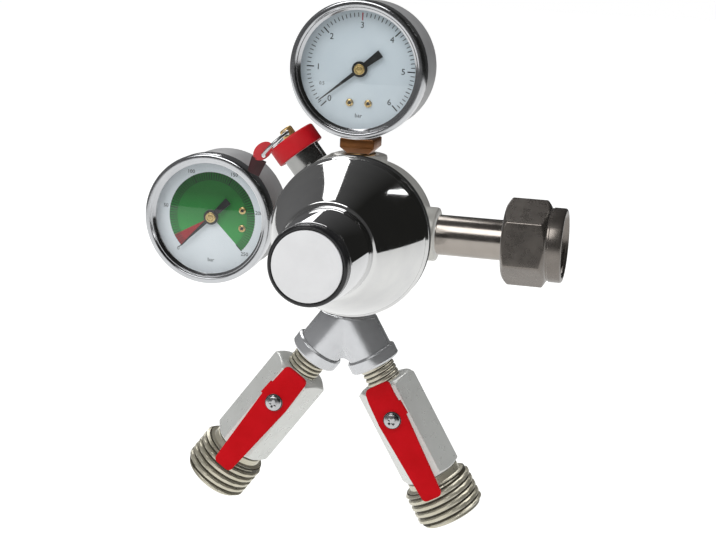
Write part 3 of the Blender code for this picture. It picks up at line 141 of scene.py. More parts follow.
def grid(rings, loop=False):
    """Join rings of points. A ring of one point closes an end. Other ends are capped, or joined by loop."""
    verts, faces, starts = [], [], []
    for ring in rings:
        starts.append(len(verts))
        verts += [tuple(p) for p in ring]
    pairs = list(zip(range(len(rings)), range(1, len(rings))))
    if loop:
        pairs.append((len(rings) - 1, 0))
    for i, j in pairs:
        a, b = starts[i], starts[j]
        na, nb = len(rings[i]), len(rings[j])
        for k in range(max(na, nb)):
            m = (k + 1) % max(na, nb)
            if na == 1:
                faces.append((a, b + m, b + k))
            elif nb == 1:
                faces.append((a + k, a + m, b))
            else:
                faces.append((a + k, a + m, b + m, b + k))
    if not loop:
        for i in (0, len(rings) - 1):
            if len(rings[i]) > 1:
                faces.append(tuple(range(starts[i], starts[i] + len(rings[i]))))
    return verts, faces


def circle(radius, z, angles):
    return [(radius * math.cos(a), radius * math.sin(a), z) for a in angles]


def even(count):
    return [2 * math.pi * k / count for k in range(count)]


def polar(radius, angle):
    return (radius * math.cos(angle), radius * math.sin(angle))


def turned(profile, segments=FINE, steps=4):
    """Spin (radius, height[, corner radius]) points about Z. Off the axis they close into a ring."""
    ring_shaped = profile[0][0] > 0
    points = rounded(profile, ring_shaped, steps)
    angles = even(segments)
    rings = [[(0, 0, z)] if r < 1e-6 else circle(r, z, angles) for r, z in points]
    return grid(rings, loop=ring_shaped)


def tube(inner, outer, low, high, segments=ROUND, ease=0.0):
    """A plain ring, or a rod where inner is 0, with its top edge eased."""
    return turned([(inner, low), (outer, low), (outer, high, ease), (inner, high)], segments)


def hex_angles(across_flats, corner_r, per_corner=5, per_flat=4):
    """Angles round a hexagon with corners on X: close together in its rounded corners."""
    flat = across_flats / 2
    centre = (flat - corner_r) / math.cos(math.radians(30))
    foot = Vector((centre, 0)) + corner_r * Vector((math.cos(math.radians(30)), math.sin(math.radians(30))))
    half = math.atan2(foot.y, foot.x)
    angles = []
    for sector in range(6):
        base = math.radians(60 * sector)
        angles += [base - half + 2 * half * k / per_corner for k in range(per_corner + 1)]
        free = math.radians(60) - 2 * half
        angles += [base + half + free * k / per_flat for k in range(1, per_flat)]
    return angles


def hex_radius(angle, across_flats, corner_r):
    """Distance from the axis to a rounded hexagon's side at an angle."""
    flat = across_flats / 2
    centre = (flat - corner_r) / math.cos(math.radians(30))
    off = (math.degrees(angle) + 30) % 60 - 30
    phi = math.radians(abs(off))
    on_flat = flat / math.cos(math.radians(30) - phi)
    inside = corner_r**2 - (centre * math.sin(phi)) ** 2
    if inside <= 0:
        return on_flat
    return min(on_flat, centre * math.cos(phi) + math.sqrt(inside))


def hex_side(across_flats, corner_r, low, high, angles, face_share=0.95, ease=0.18):
    """Rings of a hexagon's sides with turned chamfers, from the low face's circle to the high face's."""
    face_r = across_flats / 2 * face_share
    slope = math.tan(math.radians(30))
    radii = [hex_radius(a, across_flats, corner_r) for a in angles]

    def end_rings(level, way):
        """The chamfer at one end: the circle's two rings, then the two that follow the hexagon."""
        rings = [circle(face_r - ease, level, angles), circle(face_r + ease, level + way * ease * slope,
                                                              angles)]
        for pull, lift in ((ease, -ease * slope), (0.0, ease)):
            rings.append([(*polar(r - pull, a), level + way * ((r - face_r) * slope + lift))
                          for r, a in zip(radii, angles)])
        return rings

    middle = [(*polar(r, a), (low + high) / 2) for r, a in zip(radii, angles)]
    return end_rings(low, 1) + [middle] + end_rings(high, -1)[::-1]


def groove_share(z, angle, pitch, crest=0.14, root=0.86):
    """How deep a thread's groove is at a point: 0 on the crest, 1 at the root."""
    wave = abs(2 * ((z / pitch - angle / (2 * math.pi)) % 1.0) - 1)
    return min(1.0, max(0.0, (wave - crest) / (root - crest)))


def thread_rings(major, depth, pitch, low, high, segments=96, rows=10, fade=0.7, crest=0.14):
    """Rings of a screw thread that runs out at both ends."""
    angles = even(segments)
    count = max(8, int((high - low) / pitch * rows))
    rings = []
    for i in range(count + 1):
        z = low + (high - low) * i / count
        edge = min(1.0, (z - low) / (fade * pitch), (high - z) / (fade * pitch))
        ridges = [(1 - groove_share(z, a, pitch, crest)) * max(0.0, edge) for a in angles]
        rings.append([(*polar(major - depth * (1 - ridge), a), z) for ridge, a in zip(ridges, angles)])
    return rings


def extruded(outline, low, high):
    """A flat outline pulled from one height to another."""
    count = len(outline)
    verts = [(x, y, low) for x, y in outline] + [(x, y, high) for x, y in outline]
    faces = [tuple(range(count)), tuple(range(count, 2 * count))]
    faces += [(k, (k + 1) % count, (k + 1) % count + count, k + count) for k in range(count)]
    return verts, faces


def box(low, high):
    outline = [(low[0], low[1]), (high[0], low[1]), (high[0], high[1]), (low[0], high[1])]
    return extruded(outline, low[2], high[2])


def moved(shell, at):
    """A shell taken from the frame at into its parent's frame."""
    verts, faces = shell
    return [tuple(at @ Vector(v)) for v in verts], faces


def torus(ring_r, wire_r, around, sides):
    section = [polar(wire_r, b) for b in even(sides)]
    rings = [[(*polar(ring_r + out, a), up) for out, up in section] for a in even(around)]
    return grid(rings, loop=True)


# Objects


def mesh_of(name, at, shells):
    """A mesh in metres from shells, each (points, faces) or (points, faces, material index)."""
    bm = bmesh.new()
    for shell in shells:
        verts, faces = shell[0], shell[1]
        index = shell[2] if len(shell) > 2 else 0
        made = [bm.verts.new((at @ Vector(v)) * MM) for v in verts]
        part = []
        for face in faces:
            corners = [made[k] for k in face]
            if len(set(corners)) > 2:
                part.append(bm.faces.new(corners))
        for f in part:
            f.material_index = index
        bmesh.ops.recalc_face_normals(bm, faces=part)
    mesh = bpy.data.meshes.new(name)
    bm.to_mesh(mesh)
    bm.free()
    return mesh


def build(name, at, shells, finishes, nodes, body="regulator", sharp=32, bevel=0.0, smooth=True):
    """A finished piece that rides on a body and stands for CAD nodes."""
    mesh = mesh_of(name, at, shells)
    piece = bpy.data.objects.new(name, mesh)
    bpy.context.collection.objects.link(piece)
    for finish in [finishes] if isinstance(finishes, str) else finishes:
        mesh.materials.append(F[finish])
    if smooth:
        mesh.shade_smooth()
        mesh.set_sharp_from_angle(angle=math.radians(sharp))
    if bevel:
        soften(piece, bevel)
    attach(piece, body)
    if nodes:
        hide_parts(*nodes)
    PIECES.append(piece)
    return piece


def soften(piece, width, segments=2, angle=35):
    """Bevel a piece's edges, with a width in millimetres."""
    step = piece.modifiers.new("edge", "BEVEL")
    step.width = width * MM
    step.segments = segments
    step.limit_method = "ANGLE"
    step.angle_limit = math.radians(angle)
    step.harden_normals = True
    step.use_clamp_overlap = True


def apply_all(piece):
    """Replace the mesh by the evaluated one, so that no modifier is left."""
    graph = bpy.context.evaluated_depsgraph_get()
    graph.update()
    made = bpy.data.meshes.new_from_object(piece.evaluated_get(graph))
    old = piece.data
    piece.modifiers.clear()
    piece.data = made
    bpy.data.meshes.remove(old)


def cut_by(piece, at, shells):
    """Cut shells out of a piece for good."""
    tool = bpy.data.objects.new("tool", mesh_of("tool", at, shells))
    bpy.context.collection.objects.link(tool)
    step = piece.modifiers.new("boolean", "BOOLEAN")
    step.operation = "DIFFERENCE"
    step.solver = "EXACT"
    step.object = tool
    apply_all(piece)
    bpy.data.objects.remove(tool, do_unlink=True)


def resmooth(piece, sharp=32):
    piece.data.shade_smooth()
    piece.data.set_sharp_from_angle(angle=math.radians(sharp))


# Materials


def srgb(code):
    """A linear colour with full alpha from six hexadecimal digits."""

    def linear(v):
        v /= 255
        return v / 12.92 if v <= 0.04045 else ((v + 0.055) / 1.055) ** 2.4

    return tuple(linear(int(code[i:i + 2], 16)) for i in (0, 2, 4)) + (1.0,)


def node(tree, kind, **settings):
    made = tree.nodes.new(kind)
    for key, value in settings.items():
        setattr(made, key, value)
    return made


def object_place(tree):
    return node(tree, "ShaderNodeTexCoord").outputs["Object"]


def math_node(tree, operation, *values):
    """A math node over values, each a number or another node's output."""
    made = node(tree, "ShaderNodeMath", operation=operation)
    for k, value in enumerate(values):
        if isinstance(value, float):
            made.inputs[k].default_value = value
        else:
            tree.links.new(value, made.inputs[k])
    return made.outputs[0]


def mixed(tree, share, first, second):
    """A colour between two others."""
    made = node(tree, "ShaderNodeMix", data_type="RGBA")
    made.inputs["A"].default_value = first
    made.inputs["B"].default_value = second
    tree.links.new(share, made.inputs["Factor"])
    return made.outputs["Result"]


def new_material(name, shader=True):
    """A material and its node tree, with or without the Principled shader."""
    made = bpy.data.materials.new(name)
    made.use_nodes = True
    tree = made.node_tree
    if not shader:
        tree.nodes.remove(tree.nodes["Principled BSDF"])
    return made, tree


def noise(tree, vector, scale, detail=3.0, rough=0.55, dims="3D"):
    made = node(tree, "ShaderNodeTexNoise", noise_dimensions=dims)
    made.inputs["Scale"].default_value = scale
    made.inputs["Detail"].default_value = detail
    made.inputs["Roughness"].default_value = rough
    tree.links.new(vector, made.inputs["W" if dims == "1D" else "Vector"])
    return made.outputs["Fac"]


def spread(tree, value, low, high, start=0.3, end=0.7):
    """Stretch the range from start to end to the range from low to high."""
    made = node(tree, "ShaderNodeMapRange", clamp=True)
    made.inputs["From Min"].default_value = start
    made.inputs["From Max"].default_value = end
    made.inputs["To Min"].default_value = low
    made.inputs["To Max"].default_value = high
    tree.links.new(value, made.inputs["Value"])
    return made.outputs["Result"]


def along(tree, vector, axis):
    """How far a point lies along an axis, in metres."""
    made = node(tree, "ShaderNodeVectorMath", operation="DOT_PRODUCT")
    made.inputs[1].default_value = axis
    tree.links.new(vector, made.inputs[0])
    return made.outputs["Value"]


def surface(name, low, high, rough, metallic=0.0, patch=120.0, speck=260.0, bump=0.0, bump_scale=1500.0,
            grain=None, grain_scale=7000.0, grain_bump=0.0, grain_tone=0.0, specular=0.5):
    """A finish with blotched colour, uneven gloss, fine relief and tool marks across the grain axis."""
    made, tree = new_material(name)
    shader = tree.nodes["Principled BSDF"]
    place = object_place(tree)
    blotch = spread(tree, noise(tree, place, patch), 0.0, 1.0)
    tone = blotch
    if grain is not None:
        marks = noise(tree, along(tree, place, grain), grain_scale, 2.0, 0.6, "1D")
        if grain_tone:
            mixer = node(tree, "ShaderNodeMix", data_type="FLOAT")
            mixer.inputs["Factor"].default_value = grain_tone
            tree.links.new(blotch, mixer.inputs["A"])
            tree.links.new(spread(tree, marks, 0.0, 1.0), mixer.inputs["B"])
            tone = mixer.outputs["Result"]
    tree.links.new(mixed(tree, tone, (*low[:3], 1), (*high[:3], 1)), shader.inputs["Base Color"])
    gloss = noise(tree, place, speck, 2.0)
    tree.links.new(spread(tree, gloss, rough[0], rough[1]), shader.inputs["Roughness"])
    shader.inputs["Metallic"].default_value = metallic
    shader.inputs["Specular IOR Level"].default_value = specular
    normal = None
    if bump:
        normal = relief(tree, noise(tree, place, bump_scale, 3.0), bump, normal)
    if grain is not None and grain_bump:
        normal = relief(tree, marks, grain_bump, normal)
    if normal is not None:
        tree.links.new(normal, shader.inputs["Normal"])
    return made


def darken_upwards(made, bottom, top):
    """Run a finish from its first colour at one height to its second at another, in millimetres: painted
    shade where the second is darker.
    """
    tree = made.node_tree
    shade = next(n for n in tree.nodes if n.type == "MIX")
    height = along(tree, object_place(tree), (0, 0, 1))
    tree.links.new(spread(tree, height, 0.0, 1.0, bottom * MM, top * MM), shade.inputs["Factor"])


def relief(tree, height, depth_mm, under):
    """A bump over the normal that is already there, if any."""
    made = node(tree, "ShaderNodeBump")
    made.inputs["Strength"].default_value = 1.0
    made.inputs["Distance"].default_value = depth_mm * MM
    tree.links.new(height, made.inputs["Height"])
    if under is not None:
        tree.links.new(under, made.inputs["Normal"])
    return made.outputs["Normal"]


def clear_pane(name, tint, rough, index=1.6):
    """Thin glass: see-through, with a mirror film on its outer faces that grows towards grazing angles."""
    made, tree = new_material(name, shader=False)
    clear = node(tree, "ShaderNodeBsdfTransparent")
    clear.inputs["Color"].default_value = tint
    gloss = node(tree, "ShaderNodeBsdfGlossy")
    gloss.inputs["Color"].default_value = (1, 1, 1, 1)
    smears = noise(tree, object_place(tree), 250.0)
    tree.links.new(spread(tree, smears, rough[0], rough[1]), gloss.inputs["Roughness"])
    film = node(tree, "ShaderNodeFresnel")
    film.inputs["IOR"].default_value = index
    mix = node(tree, "ShaderNodeMixShader")
    outer = math_node(tree, "SUBTRACT", 1.0, node(tree, "ShaderNodeNewGeometry").outputs["Backfacing"])
    tree.links.new(math_node(tree, "MULTIPLY", film.outputs["Fac"], outer), mix.inputs["Fac"])
    tree.links.new(clear.outputs["BSDF"], mix.inputs[1])
    tree.links.new(gloss.outputs["BSDF"], mix.inputs[2])
    tree.links.new(mix.outputs["Shader"], tree.nodes["Material Output"].inputs["Surface"])
    return made


# Each finish: its two colours, least and most roughness, how metallic it is, and what else differs

FINISHES = {
    "chrome": ((0.74, 0.74, 0.75), (0.80, 0.80, 0.81), (0.03, 0.06), 1.0,
               {"bump": 0.0006, "bump_scale": 260.0}),
    "bonnet_chrome": ((0.72, 0.72, 0.72), (0.78, 0.78, 0.77), (0.05, 0.09), 1.0,
                      {"bump": 0.0008, "bump_scale": 240.0, "grain": axis_of(FRONT), "grain_bump": 0.0006}),
    "bezel_chrome": ((0.60, 0.61, 0.63), (0.66, 0.67, 0.69), (0.13, 0.18), 1.0, {}),
    "barrel_nickel": ((0.36, 0.36, 0.35), (0.42, 0.42, 0.41), (0.16, 0.22), 0.95, {}),
    "body_nickel": ((0.66, 0.65, 0.61), (0.74, 0.73, 0.69), (0.30, 0.38), 0.5, {"bump": 0.0006}),
    "inlet_nickel": ((0.37, 0.335, 0.305), (0.45, 0.41, 0.37), (0.16, 0.24), 1.0,
                     {"bump": 0.001, "grain": axis_of(INLET), "grain_scale": 5000.0, "grain_bump": 0.001,
                      "grain_tone": 0.3}),
    "nut_nickel": ((0.22, 0.198, 0.18), (0.27, 0.243, 0.22), (0.24, 0.32), 0.9, {}),
    "steel": ((0.52, 0.52, 0.53), (0.62, 0.62, 0.63), (0.22, 0.34), 1.0, {"bump": 0.003}),
    "case_steel": ((0.36, 0.36, 0.365), (0.42, 0.42, 0.425), (0.42, 0.52), 0.25,
                   {"bump": 0.002, "grain": axis_of(FRONT), "grain_bump": 0.002}),
    "brass": (srgb("A07A48"), srgb("BE9660"), (0.24, 0.36), 1.0, {"bump": 0.004}),
    "copper_brass": (srgb("7A4A22"), srgb("8E5A2C"), (0.34, 0.44), 0.6, {"bump": 0.002}),
    "bright_brass": (srgb("D2B070"), srgb("E2C688"), (0.22, 0.32), 0.7, {}),
    "dark_brass": (srgb("7A5C3A"), srgb("9A7850"), (0.28, 0.42), 1.0, {"bump": 0.006}),
    "cast_grey": ((0.68, 0.69, 0.71), (0.74, 0.75, 0.77), (0.19, 0.25), 0.72, {}),
    "spring_steel": ((0.34, 0.34, 0.36), (0.44, 0.44, 0.46), (0.28, 0.4), 1.0, {}),
    "hex_nickel": ((0.76, 0.77, 0.74), (0.82, 0.83, 0.80), (0.26, 0.32), 0.42, {}),
    "thread_nickel": (srgb("CFC9B4"), srgb("DDD8C6"), (0.26, 0.34), 0.7, {}),
    # Dark colour for tubes at the thread roots: painted shade in the grooves
    "painted_groove_shade": (srgb("3A3628"), srgb("4C4636"), (0.5, 0.65), 0.3, {}),
    # The tag's red plastic painted dark for its folded tail: painted shade
    "red_plastic_painted_shade": (srgb("2E080C"), srgb("421018"), (0.3, 0.45), 0.0, {"bump": 0.003}),
    # Black plastic, also used for the painted shade ring round the lever screws
    "black_plastic": ((0.012, 0.012, 0.013), (0.02, 0.02, 0.021), (0.16, 0.26), 0.0, {"bump": 0.003}),
    # Black rubber, also used for the painted shade in the gap under the bonnet rim
    "rubber": ((0.02, 0.02, 0.02), (0.035, 0.035, 0.035), (0.6, 0.8), 0.0, {"bump": 0.01}),
    "label_grey": (srgb("E4E4E5"), srgb("EAEAEB"), (0.34, 0.42), 0.0, {"bump": 0.0005, "specular": 0.4}),
    "seal_white": (srgb("DFDDD6"), srgb("EAE8E2"), (0.4, 0.55), 0.0, {"bump": 0.004}),
    "dial_white": (srgb("D6DEE4"), srgb("DEE5EA"), (0.45, 0.6), 0.0, {"bump": 0.001}),
    # The same dial paper painted brighter for the high gauge: painted light that offsets the bezel's shade on
    # it
    "dial_pale": (srgb("EEF1F4"), srgb("F3F5F8"), (0.45, 0.6), 0.0, {}),
    # Black print ink, also used for the painted shade in the face screws' holes
    "black_print_and_hole_shade": ((0.006, 0.006, 0.007), (0.012, 0.012, 0.014), (0.45, 0.6), 0.0, {}),
    # Green print, brighter at the bottom and darker at the top: painted shade from the bezel
    "print_green": (srgb("2C9A40"), srgb("1C6424"), (0.45, 0.6), 0.0, {}),
    "print_red": (srgb("A81420"), srgb("BC1C28"), (0.45, 0.6), 0.0, {}),
    "pointer_black": ((0.01, 0.01, 0.01), (0.018, 0.018, 0.018), (0.35, 0.5), 0.0, {}),
    "red_paint": (srgb("C0000C"), srgb("CC0414"), (0.50, 0.58), 0.0,
                  {"bump": 0.001, "bump_scale": 700.0, "specular": 0.12}),
    "red_cap": (srgb("C00A16"), srgb("CC1220"), (0.40, 0.50), 0.0, {"bump": 0.002, "specular": 0.3}),
    "red_plastic": (srgb("C02830"), srgb("D03A40"), (0.25, 0.4), 0.0, {"bump": 0.004}),
}
F = {}
for name, (low, high, rough, metallic, more) in FINISHES.items():
    F[name] = surface(name, low, high, rough, metallic, **more)
F["lens"] = clear_pane("lens", (0.97, 0.985, 0.99, 1), (0.02, 0.05))
# The green print is darker towards the top: painted shade where the bezel shades the dial
darken_upwards(F["print_green"], -5.0, 9.0)


# Body and its ports

DRUM_R, DRUM_BACK, DRUM_EDGE, DRUM_SHOULDER = 25.8, -13.0, 23.2, -9.5
FLANGE_R, FLANGE_BACK, FLANGE_FRONT, GROOVE_R, GROOVE_FRONT = 29.9, 15.5, 17.7, 28.4, 18.4
SPIGOT_R, SPIGOT_BACK, SPIGOT_FRONT = 24.0, 18.5, 24.5
CHAMBER_R, CHAMBER_BACK = 20.0, 5.2
NOZZLE_BOSS_R, NOZZLE_BOSS_FRONT, NOZZLE_BORE_R = 8.0, 8.0, 5.1
POPPET_BORE_R, POPPET_BORE_FRONT = 7.5, 2.5
GAP_SHADE_R, GAP_SHADE_BACK, GAP_SHADE_FRONT = 30.1, 16.2, 18.7
PORT_REACH, BOSS_R, PORT_BORE_R, PORT_DEPTH = 29.5, 10.2, 6.9, 3.0
PORT_THREAD_R, THREAD_START, THREAD_END = 6.3, 20.3, 29.8


def boss(fillet=1.6, edge=0.9, sink=0.05, root=8.0, steps=5):
    """A port boss on the drum, with a fillet that follows the drum. Z points out, Y forward."""
    angles = even(ROUND)
    rings = []
    for k in range(steps + 1):
        t = math.pi / 2 * k / steps
        rise = fillet * (1 - math.cos(t)) - sink
        foot = circle(BOSS_R + fillet * (1 - math.sin(t)), 0, angles)
        rings.append([(x, y, math.sqrt(DRUM_R**2 - x**2) + rise) for x, y, z in foot])
    base = [(x * 0.9, y * 0.9, DRUM_R - root) for x, y, z in rings[0]]
    bow = 0.27 * edge
    top = [circle(BOSS_R, PORT_REACH - edge, angles), circle(BOSS_R - bow, PORT_REACH - bow, angles),
           circle(BOSS_R - edge, PORT_REACH, angles), circle(PORT_BORE_R, PORT_REACH, angles),
           circle(PORT_BORE_R, PORT_REACH - PORT_DEPTH, angles)]
    return grid([base] + rings + top)


drum = turned([
    (POPPET_BORE_R, DRUM_BACK), (DRUM_EDGE, DRUM_BACK, 0.6), (DRUM_R, DRUM_SHOULDER, 1.2),
    (DRUM_R, FLANGE_BACK, 0.4), (FLANGE_R, FLANGE_BACK, 0.5), (FLANGE_R, FLANGE_FRONT, 0.4),
    (GROOVE_R, FLANGE_FRONT), (GROOVE_R, GROOVE_FRONT), (SPIGOT_R, SPIGOT_BACK), (SPIGOT_R, SPIGOT_FRONT),
    (CHAMBER_R, SPIGOT_FRONT), (CHAMBER_R, CHAMBER_BACK), (NOZZLE_BOSS_R, CHAMBER_BACK),
    (NOZZLE_BOSS_R, NOZZLE_BOSS_FRONT), (NOZZLE_BORE_R, NOZZLE_BOSS_FRONT),
    (NOZZLE_BORE_R, POPPET_BORE_FRONT), (POPPET_BORE_R, POPPET_BORE_FRONT),
], FINE)
bosses = [moved(boss(), to_frame(FRONT, at)) for at in (INLET, HIGH_PORT, LOW_PORT, WYE_PORT, RELIEF)]
# A black ring between the body's flange and the bonnet rim: painted shade of the gap
gap_shade_ring = tube(SPIGOT_R, GAP_SHADE_R, GAP_SHADE_BACK, GAP_SHADE_FRONT, FINE)
build("body_casting", FRONT, [drum] + bosses + [(*gap_shade_ring, 1)], ["body_nickel", "rubber"],
      ["regulator_body"])


# Bonnet

BONNET_BACK, BONNET_FRONT, RIM_R, NOSE_R = 19.1, 49.8, 30.2, 17.9
RIM_LENGTH, RIM_STEP, CONE_LENGTH, CONE_BULGE, CONE_STEPS = 2.6, 0.7, 27.4, 0.9, 24
SCREW_HOLE_R, BONNET_BORE_R, BORE_FRONT, NOSE_BACK = 6.1, 24.3, 27.3, 47.0


def bonnet_radius(forward):
    """Outer radius at a distance from the back face: a cone that bulges a little."""
    share = (forward - RIM_LENGTH) / (BONNET_FRONT - BONNET_BACK - RIM_LENGTH)
    root = RIM_R - RIM_STEP
    return root + (NOSE_R - root) * share + CONE_BULGE * math.sin(math.pi * share)


rim = [(BONNET_BORE_R, BONNET_BACK), (RIM_R - 1.0, BONNET_BACK, 0.2), (RIM_R, BONNET_BACK + 0.5, 0.7),
       (RIM_R, BONNET_BACK + 1.9, 0.7), (RIM_R - 0.9, BONNET_BACK + RIM_LENGTH - 0.1, 0.15)]
cone = []
for k in range(1, CONE_STEPS):
    forward = RIM_LENGTH + CONE_LENGTH * k / CONE_STEPS
    cone.append((bonnet_radius(forward), BONNET_BACK + forward))
nose = [(NOSE_R, BONNET_FRONT, 0.9), (SCREW_HOLE_R, BONNET_FRONT), (SCREW_HOLE_R, NOSE_BACK),
        (16.4, NOSE_BACK), (20.7, BORE_FRONT), (BONNET_BORE_R, BORE_FRONT)]
build("bonnet_shell", FRONT, [turned(rim + cone + nose, 160)], "bonnet_chrome", ["bonnet"],
      sharp=25)


# Back plug

PLUG_HEX, PLUG_BACK, PLUG_SEAT = 19.0, -18.3, -13.3
PLUG_R, PLUG_FRONT, SPRING_HOLE_R, SPRING_HOLE_BACK = 7.2, -9.0, 4.2, -11.0
DISH_R, DISH_DEPTH = 5.6, 0.35
plug_angles = hex_angles(PLUG_HEX, 0.5)
dish = [circle(DISH_R, PLUG_BACK + DISH_DEPTH, plug_angles), circle(DISH_R + 0.3, PLUG_BACK, plug_angles)]
plug = [circle(r, z, plug_angles) for r, z in (
    (PLUG_R, PLUG_SEAT), (PLUG_R, PLUG_FRONT), (SPRING_HOLE_R, PLUG_FRONT),
    (SPRING_HOLE_R, SPRING_HOLE_BACK))]
plug_rings = dish + hex_side(PLUG_HEX, 0.5, PLUG_BACK, PLUG_SEAT, plug_angles, 0.93) + plug
build("back_plug", FRONT, [grid(plug_rings)], "nut_nickel", ["back_cap"])


# Knob

KNOB_BACK, KNOB_FRONT, KNOB_R, SKIRT_R = 50.4, 72.4, 14.7, 16.4
WEB_BACK, WEB_FRONT, WEB_R = 62.7, 66.2, 13.9
HUB_BACK, HUB_R, HUB_BORE_R = 53.7, 7.8, 5.1
RING_FRONT, RING_R, RING_LIP_R = 76.4, 14.25, 12.75
LABEL_SEAT, LABEL_EDGE, LABEL_FRONT, LABEL_R = 75.2, 76.75, 77.08, 12.45
shell = turned([
    (0, WEB_FRONT), (WEB_R, WEB_FRONT), (WEB_R, KNOB_FRONT, 0.1), (KNOB_R, KNOB_FRONT, 0.3),
    (SKIRT_R - 0.3, KNOB_BACK + 2.2, 3.0), (SKIRT_R, KNOB_BACK + 0.6, 0.5), (SKIRT_R - 0.2, KNOB_BACK, 0.15),
    (15.3, KNOB_BACK), (13.3, WEB_BACK), (HUB_R, WEB_BACK), (HUB_R, HUB_BACK), (HUB_BORE_R, HUB_BACK),
    (HUB_BORE_R, WEB_BACK), (0, WEB_BACK),
], 160)
build("knob_cover", FRONT, [shell], "chrome", ["knob_shell"], body="knob", sharp=28)
ring = turned([
    (0, WEB_FRONT + 0.3), (WEB_R - 0.3, WEB_FRONT + 0.3), (WEB_R - 0.3, KNOB_FRONT),
    (RING_R, KNOB_FRONT, 0.1), (RING_R - 0.15, RING_FRONT - 0.6, 0.5), (RING_R - 0.75, RING_FRONT, 0.3),
    (RING_LIP_R + 0.1, RING_FRONT, 0.15), (RING_LIP_R, LABEL_SEAT), (0, LABEL_SEAT),
], FINE)
build("knob_insert", FRONT, [ring], "black_plastic", ["knob_ring"], body="knob")
label = turned([(0, LABEL_SEAT + 0.3), (LABEL_R, LABEL_SEAT + 0.3), (LABEL_R, LABEL_EDGE, 0.25),
                (9.0, LABEL_FRONT - 0.1, 4.0), (0, LABEL_FRONT)], FINE)
build("knob_disc", FRONT, [label], "label_grey", ["knob_label"], body="knob")


# Inlet stem and union nut

STEM_BORE_R, STEM_R, STEM_HEAD_R, HEAD_BACK, STEM_END = 2.6, 7.6, 10.4, 60.0, 64.0
NUT_HEX, NUT_EDGE, NUT_BACK, HEX_END, NUT_END = 28.6, 0.9, 55.3, 71.7, 77.5
COLLAR_WAIST_R, COLLAR_R = 13.62, 13.9
NUT_THREAD_R, NUT_THREAD_DEPTH, NUT_PITCH, NUT_THREAD_LENGTH, NUT_ROWS = 11.45, 0.55, 1.814, 16.2, 65
NUT_ROOT_R, NUT_FLOOR, NUT_HOLE_R = 10.9, 59.7, 7.9
NUT_AT = INLET @ Matrix.Rotation(math.radians(-5.5), 4, "Z")

stem = turned([
    (STEM_BORE_R, THREAD_START), (PORT_THREAD_R, THREAD_START), (PORT_THREAD_R, THREAD_END),
    (STEM_R, THREAD_END, 0.3), (STEM_R, HEAD_BACK), (STEM_HEAD_R, HEAD_BACK), (STEM_HEAD_R, STEM_END, 0.7),
    (STEM_BORE_R, STEM_END, 0.3),
], 96)
build("inlet_tube", INLET, [stem], "inlet_nickel", ["inlet_stem"])

nut_angles = hex_angles(NUT_HEX, NUT_EDGE, per_corner=6, per_flat=8)
nut_rings = hex_side(NUT_HEX, NUT_EDGE, NUT_BACK, HEX_END, nut_angles, 0.955, 0.3)
nut_rings += [circle(r, z, nut_angles) for r, z in (
    (COLLAR_WAIST_R, HEX_END + 0.25), (COLLAR_WAIST_R, HEX_END + 0.8), (COLLAR_R, HEX_END + 1.1),
    (COLLAR_R, NUT_END - 0.8), (COLLAR_R - 0.18, NUT_END - 0.35), (COLLAR_R - 0.6, NUT_END - 0.05),
    (COLLAR_R - 1.0, NUT_END), (12.2, NUT_END), (11.5, NUT_END - 0.6))]
for k in range(NUT_ROWS + 1):
    z = NUT_END - 0.7 - NUT_THREAD_LENGTH * k / NUT_ROWS
    radii = [NUT_THREAD_R - NUT_THREAD_DEPTH * groove_share(z, a, NUT_PITCH) for a in nut_angles]
    nut_rings.append([(*polar(r, a), z) for r, a in zip(radii, nut_angles)])
nut_rings += [circle(r, z, nut_angles) for r, z in (
    (NUT_ROOT_R, NUT_FLOOR), (NUT_HOLE_R, NUT_FLOOR), (NUT_HOLE_R, NUT_BACK + 0.4),
    (NUT_HOLE_R + 0.4, NUT_BACK))]
build("union_nut_body", NUT_AT, [grid(nut_rings, loop=True)], "nut_nickel", ["inlet_nut"],
      body="union_nut", sharp=30)


# Gauges

BEZEL_R, BEZEL_BACK, BEZEL_FRONT, BEZEL_STEP = 25.25, 5.3, 11.8, 11.25
CASE_R, CASE_BACK, CASE_FRONT, CASE_WALL = 24.35, -15.5, 8.0, 0.9
WINDOW_R, LENS_R, LENS_BACK, LENS_RISE, LENS_STEPS = 21.5, 24.0, 8.35, 1.5, 10
DIAL_R, DIAL_BACK, DIAL_PLANE, DIAL_HOLE_R = 23.1, 5.0, 5.5, 1.2
PRINT, PRINT_GAP = 0.04, 0.02
ZERO, SWEEP = math.radians(225), math.radians(270)
NEEDLE_LEAN = {"low": math.radians(6), "high": 0.0}
NEEDLE_REACH = {"low": 19.6, "high": 18.0}
SCREW_OUT, SCREW_DOWN, EYELET_R, EYELET_HOLE_R = 3.5, 12.4, 1.4, 0.6
TUBE_R, TUBE_THICK, TUBE_WIDTH, TUBE_PLANE, TUBE_EDGE = 16.2, 1.8, 6.5, -9.0, 0.7
TUBE_START, TUBE_SPAN, TUBE_STEPS = math.radians(-58), math.radians(246), 48
SOCKET_HALF, SOCKET_LOW, NECK_HALF, NECK_LOW, SOCKET_PITCH = 6.5, 25.55, 4.8, 10.5, 1.337


def tick(angle, inner, outer, width, z):
    out = Vector(polar(1, angle))
    side = Vector((-out.y, out.x)) * width / 2
    corners = [out * inner - side, out * outer - side, out * outer + side, out * inner + side]
    return extruded([tuple(c) for c in corners], z, z + PRINT)


def sector(inner, outer, first, last, z, steps):
    """A printed sector between two shares of the scale."""
    start, end = dial_angle(first), dial_angle(last)
    angles = [start + (end - start) * k / steps for k in range(steps + 1)]
    outline = [polar(outer, a) for a in angles] + [polar(inner, a) for a in reversed(angles)]
    return extruded(outline, z, z + PRINT)


